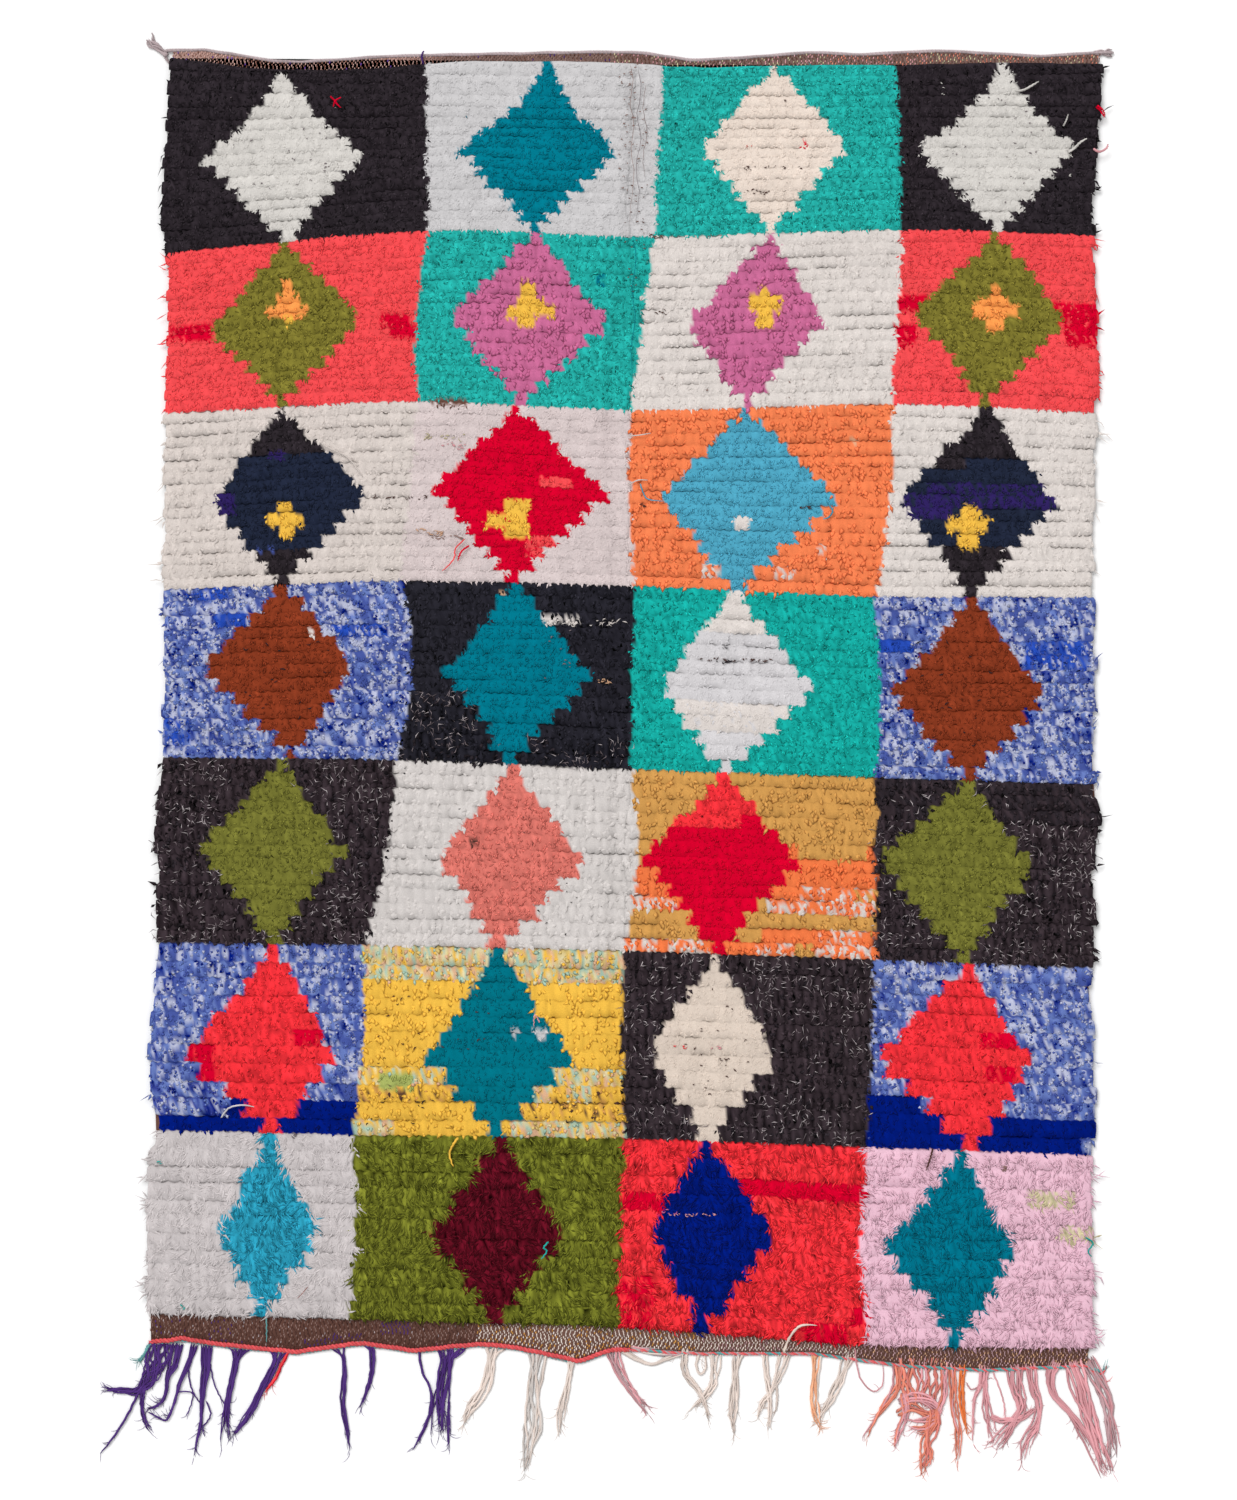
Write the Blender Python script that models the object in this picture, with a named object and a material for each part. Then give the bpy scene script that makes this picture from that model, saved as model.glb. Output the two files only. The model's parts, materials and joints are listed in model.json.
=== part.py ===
"""A boucherouite rug: a hand-knotted rag rug of 28 blocks, lying flat with its pile up.

The rug is one ground weave. Its middle carries rows of knotted pile, and its two ends are bare
flat weave. A thick cord is sewn along the head, a twined edge closes the foot, and the warps
hang out of that edge as a fringe. Metres, +Z up, warps along Y, head at +Y, fringe at -Y.
"""

import math
import random
from collections import namedtuple

import bmesh
import bpy
import numpy as np

# Heights above the floor
FLAT_WEAVE = 0.004
ROW_CREST = 0.0175
ROW_GROOVE = 0.0115
RIM_CREST = 0.0095
RIM_GROOVE = 0.0070

# How far the pile's own surface strays from those
CREST_LUMP = 0.0018
GROOVE_LUMP = 0.0008
ROW_WANDER = 0.0020
LOCK_REACH = (0.003, 0.010)
GROOVE_TUCK = 0.002
CREST_SHARE = 0.45

# The soft trough where the rug was once folded in half along its length
CREASE_DEPTH = 0.0040
CREASE_HALF_WIDTH = 0.045
CREASE_AT_HEAD = 1.88
CREASE_AT_FOOT = 1.99

# Edge cords and fringe
CORD_WIDTH = 0.0070
CORD_HEIGHT = 0.0056
SEAM_GAP = 0.0004
STRAND_WIDTH = 0.0034
STRAND_HEIGHT = 0.0030
TIP_SHARE = 0.5
ROOT_PITCH = 0.0042
ROOT_DEPTH = 0.0040
STRAND_STEPS = 5
HEAD_CORD_ENDS = (-0.700, 0.728)

# The rug is woven in four columns of blocks. Each line across it, from the head down, is given
# where it meets the left edge, the three seams and the right edge.
Line = namedtuple("Line", "left first_seam second_seam third_seam right")
LINE_X = (
    Line(-0.692, -0.304, 0.052, 0.398, 0.710),
    Line(-0.692, -0.301, 0.037, 0.408, 0.696),
    Line(-0.696, -0.317, 0.002, 0.392, 0.702),
    Line(-0.698, -0.341, 0.007, 0.367, 0.698),
    Line(-0.699, -0.351, 0.003, 0.369, 0.698),
    Line(-0.705, -0.399, -0.006, 0.369, 0.692),
    Line(-0.705, -0.414, -0.006, 0.355, 0.695),
    Line(-0.722, -0.421, -0.018, 0.358, 0.695),
)
LINE_Y = (
    Line(0.965, 0.959, 0.956, 0.957, 0.963),
    Line(0.675, 0.708, 0.700, 0.710, 0.701),
    Line(0.435, 0.453, 0.440, 0.449, 0.436),
    Line(0.171, 0.184, 0.177, 0.161, 0.159),
    Line(-0.080, -0.084, -0.098, -0.110, -0.120),
    Line(-0.357, -0.361, -0.370, -0.383, -0.396),
    Line(-0.638, -0.645, -0.651, -0.664, -0.676),
    Line(-0.913, -0.921, -0.933, -0.960, -0.965),
)
KNOT_ROWS = (14, 13, 13, 13, 13, 12, 11)
COLUMNS_A_BLOCK = 4
RIM_INSET = 0.07

# The flat-woven ends are wavy: the height of each edge at places along it
Wave = namedtuple("Wave", "x y")
HEAD_EDGE = (
    Wave(-0.696, 0.981),
    Wave(-0.636, 0.982),
    Wave(-0.535, 0.966),
    Wave(-0.486, 0.964),
    Wave(-0.344, 0.973),
    Wave(-0.029, 0.979),
    Wave(0.032, 0.976),
    Wave(0.091, 0.967),
    Wave(0.159, 0.969),
    Wave(0.267, 0.978),
    Wave(0.347, 0.975),
    Wave(0.459, 0.981),
    Wave(0.624, 0.972),
    Wave(0.708, 0.978),
)
FOOT_EDGE = (
    Wave(-0.722, -0.954),
    Wave(-0.670, -0.948),
    Wave(-0.609, -0.957),
    Wave(-0.498, -0.968),
    Wave(-0.402, -0.954),
    Wave(-0.326, -0.966),
    Wave(-0.224, -0.956),
    Wave(-0.170, -0.961),
    Wave(-0.075, -0.982),
    Wave(-0.024, -0.964),
    Wave(0.099, -0.971),
    Wave(0.273, -0.971),
    Wave(0.411, -0.989),
    Wave(0.529, -0.996),
    Wave(0.692, -0.989),
)

# The twined foot edge in lengths, each the backing of its own fringe
FootLength = namedtuple("FootLength", "name start end colour")
FOOT_LENGTHS = (
    FootLength("fringe_purple", -0.722, -0.240, (0.09, 0.03, 0.16)),
    FootLength("fringe_ivory", -0.240, -0.040, (0.62, 0.56, 0.50)),
    FootLength("fringe_ivory_right", -0.040, 0.345, (0.66, 0.60, 0.54)),
    FootLength("fringe_apricot", 0.345, 0.480, (0.78, 0.33, 0.20)),
    FootLength("fringe_rose", 0.480, 0.692, (0.68, 0.28, 0.30)),
)

# Each bundle of fringe: its root along the edge, a bend and a tip, with how far below the edge
# those two lie, how many strands it has and how far apart the strands are at the tip
Bundle = namedtuple("Bundle", "root bend bend_drop tip tip_drop strands spread")
BUNDLES = (
    Bundle(-0.715, -0.742, 0.056, -0.787, 0.076, 2, 0.009),
    Bundle(-0.7055, -0.731, 0.092, -0.789, 0.171, 1, 0.0),
    Bundle(-0.693, -0.716, 0.086, -0.717, 0.138, 2, 0.006),
    Bundle(-0.676, -0.697, 0.073, -0.698, 0.122, 1, 0.0),
    Bundle(-0.656, -0.676, 0.071, -0.681, 0.108, 2, 0.006),
    Bundle(-0.637, -0.640, 0.080, -0.653, 0.176, 3, 0.006),
    Bundle(-0.618, -0.617, 0.071, -0.625, 0.116, 1, 0.0),
    Bundle(-0.585, -0.594, 0.062, -0.603, 0.155, 3, 0.007),
    Bundle(-0.535, -0.553, 0.072, -0.582, 0.129, 2, 0.006),
    Bundle(-0.511, -0.521, 0.040, -0.534, 0.073, 1, 0.0),
    Bundle(-0.431, -0.426, 0.078, -0.418, 0.162, 1, 0.0),
    Bundle(-0.387, -0.386, 0.055, -0.402, 0.103, 1, 0.0),
    Bundle(-0.312, -0.300, 0.061, -0.323, 0.153, 1, 0.0),
    Bundle(-0.273, -0.279, 0.068, -0.282, 0.139, 4, 0.006),
    Bundle(-0.201, -0.213, 0.057, -0.246, 0.118, 2, 0.007),
    Bundle(-0.137, -0.143, 0.065, -0.148, 0.173, 3, 0.008),
    Bundle(-0.091, -0.098, 0.058, -0.104, 0.122, 2, 0.006),
    Bundle(-0.021, -0.009, 0.047, 0.029, 0.098, 2, 0.007),
    Bundle(0.084, 0.093, 0.051, 0.091, 0.096, 1, 0.0),
    Bundle(0.129, 0.121, 0.044, 0.114, 0.104, 2, 0.008),
    Bundle(0.162, 0.159, 0.060, 0.156, 0.122, 2, 0.006),
    Bundle(0.204, 0.207, 0.058, 0.197, 0.108, 1, 0.0),
    Bundle(0.243, 0.226, 0.051, 0.213, 0.120, 2, 0.007),
    Bundle(0.281, 0.276, 0.062, 0.278, 0.110, 2, 0.006),
    Bundle(0.327, 0.316, 0.048, 0.303, 0.090, 2, 0.006),
    Bundle(0.395, 0.381, 0.057, 0.350, 0.115, 2, 0.009),
    Bundle(0.417, 0.413, 0.055, 0.398, 0.125, 3, 0.007),
    Bundle(0.445, 0.441, 0.053, 0.440, 0.164, 4, 0.007),
    Bundle(0.467, 0.465, 0.052, 0.466, 0.112, 1, 0.0),
    Bundle(0.492, 0.487, 0.059, 0.488, 0.137, 2, 0.006),
    Bundle(0.509, 0.505, 0.049, 0.508, 0.100, 1, 0.0),
    Bundle(0.529, 0.523, 0.050, 0.522, 0.106, 2, 0.006),
    Bundle(0.549, 0.543, 0.049, 0.544, 0.120, 2, 0.007),
    Bundle(0.573, 0.576, 0.060, 0.571, 0.133, 2, 0.007),
    Bundle(0.599, 0.605, 0.062, 0.597, 0.150, 2, 0.007),
    Bundle(0.626, 0.653, 0.055, 0.703, 0.170, 3, 0.008),
    Bundle(0.652, 0.685, 0.052, 0.717, 0.130, 2, 0.008),
    Bundle(0.677, 0.709, 0.046, 0.741, 0.138, 2, 0.008),
)

# The frayed tassel at the left end of the head cord
TASSEL = Bundle(-0.689, -0.699, 0.015, -0.711, 0.026, 4, 0.005)

# The same lumps every time
PILE_SEED = 41

PILE_COLOUR = (0.42, 0.34, 0.32)
HEAD_CORD_COLOUR = (0.50, 0.42, 0.43)


def clear_scene():
    for old in list(bpy.data.objects):
        bpy.data.objects.remove(old)


def rug_collection():
    made = bpy.data.collections.new("boucherouite_rug")
    bpy.context.scene.collection.children.link(made)
    return made


def helper_collection():
    made = bpy.data.collections.new("union_helpers")
    bpy.context.scene.collection.children.link(made)
    return made


def yarn(name, colour, roughness=0.95):
    """A matt fibre of one colour."""
    material = bpy.data.materials.new(name)
    material.use_nodes = True
    shader = material.node_tree.nodes["Principled BSDF"]
    shader.inputs["Base Color"].default_value = (*colour, 1.0)
    shader.inputs["Roughness"].default_value = roughness
    shader.inputs["Metallic"].default_value = 0.0
    return material


def curve_weights(position, count):
    """The shares in which a smooth curve through `count` even points mixes them at a position."""
    first = min(int(position), count - 2)
    t = position - first
    shares = (
        -0.5 * t + t**2 - 0.5 * t**3,
        1 - 2.5 * t**2 + 1.5 * t**3,
        0.5 * t + 2 * t**2 - 1.5 * t**3,
        -0.5 * t**2 + 0.5 * t**3,
    )
    weights = np.zeros(count)
    for step, share in zip((-1, 0, 1, 2), shares):
        weights[min(max(first + step, 0), count - 1)] += share
    return weights


def on_rug(across, down):
    """The place on the rug `across` blocks from the left edge and `down` blocks from the head."""
    row = curve_weights(down, len(LINE_X))
    column = curve_weights(across, len(Line._fields))
    return row @ np.array(LINE_X) @ column, row @ np.array(LINE_Y) @ column


def edge_height(edge, x):
    return float(np.interp(x, [w.x for w in edge], [w.y for w in edge]))


def grid_columns(down):
    """How many blocks from the left edge each grid line runs, `down` blocks from the head."""
    blocks = len(Line._fields) - 1
    crease = CREASE_AT_HEAD + (CREASE_AT_FOOT - CREASE_AT_HEAD) * down / len(KNOT_ROWS)
    steps = [k / COLUMNS_A_BLOCK for k in range(1, blocks * COLUMNS_A_BLOCK)]
    steps = [s for s in steps if not 1.8 < s < 2.2]
    beside = [crease - CREASE_HALF_WIDTH, crease, crease + CREASE_HALF_WIDTH]
    return sorted([0, RIM_INSET, *steps, *beside, blocks - RIM_INSET, blocks])


def grid_lines():
    """Every line of the grid from head to foot, as how far down it lies and what it is."""
    lines = [(0.0, "head edge"), (0.0, "head bare")]
    for block, rows in enumerate(KNOT_ROWS):
        for row in range(rows):
            lines.append((block + row / rows, "groove"))
            lines.append((block + (row + CREST_SHARE) / rows, "crest"))
    foot = float(len(KNOT_ROWS))
    return [*lines, (foot, "groove"), (foot, "foot bare"), (foot, "foot edge")]


def pile_point(across, down, kind, rim_side, lumps):
    """One point of the pile's surface."""
    x, y = on_rug(across, down)
    crest = kind == "crest"
    if rim_side:
        out = lumps.uniform(*LOCK_REACH) if crest else -GROOVE_TUCK
        return x + rim_side * out, y, RIM_CREST if crest else RIM_GROOVE
    lump = CREST_LUMP if crest else GROOVE_LUMP
    z = (ROW_CREST if crest else ROW_GROOVE) + lumps.uniform(-lump, lump)
    crease = CREASE_AT_HEAD + (CREASE_AT_FOOT - CREASE_AT_HEAD) * down / len(KNOT_ROWS)
    z -= CREASE_DEPTH * max(0.0, 1 - abs(across - crease) / CREASE_HALF_WIDTH)
    return x, y + lumps.uniform(-ROW_WANDER, ROW_WANDER), z


def bare_point(across, down, kind):
    """One point of a flat-woven end."""
    x, y = on_rug(across, down)
    if kind == "head edge":
        return x, edge_height(HEAD_EDGE, x), FLAT_WEAVE
    if kind == "foot edge":
        return x, edge_height(FOOT_EDGE, x), FLAT_WEAVE
    step = GROOVE_TUCK if kind == "head bare" else -GROOVE_TUCK
    return x, y + step, FLAT_WEAVE


def surface_point(across, line, rim_side, lumps):
    down, kind = line
    if kind in ("crest", "groove"):
        return pile_point(across, down, kind, rim_side, lumps)
    return bare_point(across, down, kind)


def rug_slab(collection):
    """Ground weave and pile as one solid: a ribbed, lumpy top, a wall round it and a flat back."""
    lines = grid_lines()
    wide = len(grid_columns(0.0)) - 1
    tall = len(lines) - 1
    lumps = random.Random(PILE_SEED)
    bm = bmesh.new()
    bmesh.ops.create_grid(bm, x_segments=wide, y_segments=tall, size=1.0)
    for vertex in bm.verts:
        column = round((vertex.co.x + 1) / 2 * wide)
        line = lines[round((1 - vertex.co.y) / 2 * tall)]
        rim_side = {0: -1, wide: 1}.get(column, 0)
        across = grid_columns(line[0])[column]
        vertex.co = surface_point(across, line, rim_side, lumps)
    rim = [edge for edge in bm.edges if edge.is_boundary]
    wall = bmesh.ops.extrude_edge_only(bm, edges=rim)["geom"]
    for vertex in (g for g in wall if isinstance(g, bmesh.types.BMVert)):
        vertex.co.z = 0.0
    open_edges = [edge for edge in bm.edges if edge.is_boundary]
    bmesh.ops.holes_fill(bm, edges=open_edges, sides=0)
    bmesh.ops.recalc_face_normals(bm, faces=bm.faces)
    return finish_mesh("rug_body", bm, yarn("rag_pile", PILE_COLOUR), collection)


def finish_mesh(name, bm, material, collection):
    mesh = bpy.data.meshes.new(name)
    bm.to_mesh(mesh)
    bm.free()
    mesh.materials.append(material)
    made = bpy.data.objects.new(name, mesh)
    collection.objects.link(made)
    return made


def straight_run(edge, down, x):
    """The height of the rug's edge where it runs straight between two corners of the grid."""
    corners = [float(on_rug(across, down)[0]) for across in grid_columns(down)]
    return float(np.interp(x, corners, [edge_height(edge, c) for c in corners]))


def edge_stations(edge, down, start, end):
    """The corners of the rug's edge between two places along it, and those two places."""
    corners = [float(on_rug(across, down)[0]) for across in grid_columns(down)]
    inside = [x for x in corners if start + SEAM_GAP < x < end - SEAM_GAP]
    return [(x, straight_run(edge, down, x)) for x in (start, *inside, end)]


def cord_section(outward):
    """A round-topped cord, flat where it lies on the floor and where it meets the weave."""
    half = CORD_HEIGHT / 2
    near, far = SEAM_GAP, SEAM_GAP + CORD_WIDTH
    outline = ((near, 0), (far, 0), (far, half), (far - half / 2, CORD_HEIGHT))
    outline += ((near + half / 2, CORD_HEIGHT), (near, half))
    return [(outward * y, z) for y, z in outline]


def loft(bm, rings):
    """Joins rings of points, each with the same number, into one closed tube."""
    loops = [[bm.verts.new(point) for point in ring] for ring in rings]
    count = len(loops[0])
    for one, two in zip(loops, loops[1:]):
        for k in range(count):
            after = (k + 1) % count
            bm.faces.new((one[k], one[after], two[after], two[k]))
    bm.faces.new(loops[0])
    bm.faces.new(loops[-1])


def edge_cord(stations, outward):
    """The cord along one end of the rug, as a mesh that fits the edge's corners."""
    bm = bmesh.new()
    section = cord_section(outward)
    loft(bm, [[(x, y + dy, z) for dy, z in section] for x, y in stations])
    bmesh.ops.recalc_face_normals(bm, faces=bm.faces)
    return bm


def pull_point(root, bend, tip):
    """Where a curve from root to tip is drawn towards, so that its middle lies on the bend."""
    return [2 * b - (a + c) / 2 for a, b, c in zip(root, bend, tip)]


def strand_line(root, bend, tip):
    """Points on the curve from a root past its bend to its tip."""
    pull = pull_point(root, bend, tip)
    points = []
    for step in range(STRAND_STEPS + 1):
        t = step / STRAND_STEPS
        shares = ((1 - t) ** 2, 2 * t * (1 - t), t**2)
        points.append([sum(s * p for s, p in zip(shares, axis)) for axis in zip(root, pull, tip)])
    return points


def add_strand(bm, root, bend, tip):
    """One three-sided lock of yarn, lying flat on the floor and tapering to its tip."""
    points = strand_line(root, bend, tip)
    rings = []
    for step, (x, y) in enumerate(points):
        before = points[max(step - 1, 0)]
        after = points[min(step + 1, STRAND_STEPS)]
        run, rise = after[0] - before[0], after[1] - before[1]
        length = math.hypot(run, rise)
        share = 1 - (1 - TIP_SHARE) * step / STRAND_STEPS
        half = share * STRAND_WIDTH / 2
        side_x, side_y = -rise / length * half, run / length * half
        rings.append(
            (
                (x - side_x, y - side_y, 0.0),
                (x + side_x, y + side_y, 0.0),
                (x, y, share * STRAND_HEIGHT),
            )
        )
    loft(bm, rings)


def beside(point, run, pitch):
    """The point a pitch to the side of a strand that runs in a direction."""
    length = math.hypot(*run)
    return (point[0] - run[1] / length * pitch, point[1] + run[0] / length * pitch)


def bundle_lines(bundle, edge, outward):
    """Root, bend and tip of each strand of a bundle, side by side and spread at the tips."""
    seam = edge + outward * SEAM_GAP
    root = (bundle.root, seam + outward * (CORD_WIDTH - ROOT_DEPTH))
    bend = (bundle.bend, seam + outward * bundle.bend_drop)
    tip = (bundle.tip, seam + outward * bundle.tip_drop)
    pull = pull_point(root, bend, tip)
    first_run = (pull[0] - root[0], pull[1] - root[1])
    last_run = (tip[0] - bend[0], tip[1] - bend[1])
    whole_run = (tip[0] - root[0], tip[1] - root[1])
    slant = math.hypot(*first_run) / first_run[1]
    lines = []
    for number in range(bundle.strands):
        place = number - (bundle.strands - 1) / 2
        lines.append(
            (
                (root[0] - place * ROOT_PITCH * slant, root[1]),
                beside(bend, whole_run, place * (ROOT_PITCH + bundle.spread) / 2),
                beside(tip, last_run, place * bundle.spread),
            )
        )
    return lines


def strand_mesh(name, bundles, edge_shape, down, outward):
    """The strands of the bundles along one end of the rug, to be fused into its cord."""
    bm = bmesh.new()
    for bundle in bundles:
        edge = straight_run(edge_shape, down, bundle.root)
        for root, bend, tip in bundle_lines(bundle, edge, outward):
            add_strand(bm, root, bend, tip)
    bmesh.ops.recalc_face_normals(bm, faces=bm.faces)
    mesh = bpy.data.meshes.new(name)
    bm.to_mesh(mesh)
    bm.free()
    return bpy.data.objects.new(name, mesh)


def join_to_cord(cord, strands, helpers):
    """Fuses the strands' roots into their cord."""
    helpers.objects.link(strands)
    strands.hide_render = True
    strands.display_type = "WIRE"
    union = cord.modifiers.new("roots", "BOOLEAN")
    union.operation = "UNION"
    union.object = strands


def foot_fringe(length, collection, helpers):
    """One length of the twined foot edge with the bundles that hang out of it."""
    down = float(len(KNOT_ROWS))
    end = length.end if length is FOOT_LENGTHS[-1] else length.end - SEAM_GAP
    bm = edge_cord(edge_stations(FOOT_EDGE, down, length.start, end), -1)
    cord = finish_mesh(length.name, bm, yarn(length.name + "_yarn", length.colour), collection)
    own = [bundle for bundle in BUNDLES if length.start < bundle.root < length.end]
    strands = strand_mesh(length.name + "_strands", own, FOOT_EDGE, down, -1)
    join_to_cord(cord, strands, helpers)
    return cord


def head_cord(collection, helpers):
    """The cord sewn along the head, with its frayed tassel at the left corner."""
    bm = edge_cord(edge_stations(HEAD_EDGE, 0.0, *HEAD_CORD_ENDS), 1)
    fibre = yarn("head_cord_yarn", HEAD_CORD_COLOUR)
    cord = finish_mesh("head_cord", bm, fibre, collection)
    strands = strand_mesh("head_tassel_strands", [TASSEL], HEAD_EDGE, 0.0, 1)
    join_to_cord(cord, strands, helpers)
    return cord


def middle_of(parts):
    """The middle of the floor that the whole rug covers."""
    bpy.context.view_layer.update()
    graph = bpy.context.evaluated_depsgraph_get()
    corners = []
    for part in parts:
        shown = part.evaluated_get(graph)
        corners += [shown.matrix_world @ vertex.co for vertex in shown.data.vertices]
    middle_x = (min(c.x for c in corners) + max(c.x for c in corners)) / 2
    middle_y = (min(c.y for c in corners) + max(c.y for c in corners)) / 2
    return middle_x, middle_y


def main():
    clear_scene()
    collection = rug_collection()
    helpers = helper_collection()
    parts = [rug_slab(collection), head_cord(collection, helpers)]
    parts += [foot_fringe(length, collection, helpers) for length in FOOT_LENGTHS]
    middle_x, middle_y = middle_of(parts)
    print(f"the middle of the rug lies at {middle_x:.6f}, {middle_y:.6f}")
    for part in [*parts, *helpers.objects]:
        part.location = (-middle_x, -middle_y, 0.0)


main()
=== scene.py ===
import json
import math
from types import SimpleNamespace

import bpy
import numpy as np
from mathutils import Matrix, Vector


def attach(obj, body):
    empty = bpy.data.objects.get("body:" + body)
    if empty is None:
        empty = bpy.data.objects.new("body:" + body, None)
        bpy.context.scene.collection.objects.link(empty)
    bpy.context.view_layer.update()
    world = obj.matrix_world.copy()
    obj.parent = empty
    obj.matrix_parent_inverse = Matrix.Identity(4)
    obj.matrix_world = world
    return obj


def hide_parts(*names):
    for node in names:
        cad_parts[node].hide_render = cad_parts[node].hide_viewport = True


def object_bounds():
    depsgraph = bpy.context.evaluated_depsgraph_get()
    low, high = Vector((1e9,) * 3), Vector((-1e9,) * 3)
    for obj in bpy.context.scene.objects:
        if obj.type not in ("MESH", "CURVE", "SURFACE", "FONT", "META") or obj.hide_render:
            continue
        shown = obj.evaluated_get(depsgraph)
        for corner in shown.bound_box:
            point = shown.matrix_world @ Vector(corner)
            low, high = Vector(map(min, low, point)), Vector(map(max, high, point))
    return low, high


# A boucherouite rug seen from straight above: rag and wool pile knotted in blocks of
# lozenges, bare flat weave at both ends, a corded head and a loose fringe at the foot.
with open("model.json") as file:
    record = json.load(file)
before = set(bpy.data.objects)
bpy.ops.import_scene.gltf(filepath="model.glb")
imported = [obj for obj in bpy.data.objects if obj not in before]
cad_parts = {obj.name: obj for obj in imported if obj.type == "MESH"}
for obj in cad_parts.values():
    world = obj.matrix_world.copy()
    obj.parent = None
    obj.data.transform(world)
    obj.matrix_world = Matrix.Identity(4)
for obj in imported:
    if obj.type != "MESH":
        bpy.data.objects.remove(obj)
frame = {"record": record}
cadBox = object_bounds()
print("rug: frame loaded")


def table(columns, rows):
    # rows of values as dictionaries, by the names of the columns; a short row lacks the last ones
    return [dict(zip(columns.split(), row)) for row in rows]


# the pattern is laid out in metres from the middle of the weaving, which the mount marks
weavingMiddle = np.array(frame["record"]["mounts"][0]["pos_m"])
metresPerPixel = 0.0015
middlePixel = (629, 704)


def fromPhoto(px, py):
    # a place that was read off the photograph, in metres from the middle of the weaving
    return (px - middlePixel[0]) * metresPerPixel, (middlePixel[1] - py) * metresPerPixel


def spotFromPhoto(px, py, wide, tall):
    # a spot's middle and half its size, in metres
    return (*fromPhoto(px, py), wide * metresPerPixel / 2, tall * metresPerPixel / 2)


# camera straight above, at the height where a long lens frames the photograph's 1237 by 1500
camera = {"pictureSize": (1237, 1500), "lens": 100.0, "sensor": 36.0}


def placeCamera():
    wide, tall = camera["pictureSize"]
    x, y = fromPhoto(wide / 2, tall / 2)
    data = bpy.data.cameras.new("above")
    data.lens = camera["lens"]
    data.sensor_width = camera["sensor"]
    data.clip_end = 60.0
    above = bpy.data.objects.new("above", data)
    height = tall * metresPerPixel * camera["lens"] / camera["sensor"]
    above.location = (x + weavingMiddle[0], y + weavingMiddle[1], height)
    bpy.context.scene.collection.objects.link(above)
    bpy.context.scene.camera = above


placeCamera()

studio = {
    "skyStrength": 0.70,
    "keyStrength": 1.95,
    "keyAngle": 30.0,
    "keyFrom": (-0.55, 0.95, 1.45),
    "floorColour": (0.93, 0.93, 0.93),
    "floorSize": 9.0,
}


def placeStudio():
    scene = bpy.context.scene
    scene.view_settings.view_transform = "Standard"
    world = bpy.data.worlds.new("studio")
    world.use_nodes = True
    sky = world.node_tree.nodes["Background"]
    sky.inputs["Color"].default_value = (1.0, 1.0, 1.0, 1.0)
    sky.inputs["Strength"].default_value = studio["skyStrength"]
    scene.world = world
    light = bpy.data.lights.new("key", "SUN")
    light.energy = studio["keyStrength"]
    light.angle = math.radians(studio["keyAngle"])
    key = bpy.data.objects.new("key", light)
    x, y, z = studio["keyFrom"]
    key.rotation_euler = (math.atan2(math.hypot(x, y), z), 0.0, math.atan2(x, -y))
    scene.collection.objects.link(key)
    half = studio["floorSize"] / 2
    mesh = bpy.data.meshes.new("floor")
    corners = [(x, y, -0.0006) for x, y in ((-half, -half), (half, -half), (half, half), (-half, half))]
    mesh.from_pydata(corners, [], [(0, 1, 2, 3)])
    floor = bpy.data.objects.new("floor", mesh)
    scene.collection.objects.link(floor)
    paper = bpy.data.materials.new("paleFloor")
    paper.use_nodes = True
    shader = paper.node_tree.nodes["Principled BSDF"]
    shader.inputs["Base Color"].default_value = (*studio["floorColour"], 1.0)
    shader.inputs["Roughness"].default_value = 0.9
    mesh.materials.append(paper)


placeStudio()
print("rug: camera and studio placed")

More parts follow.
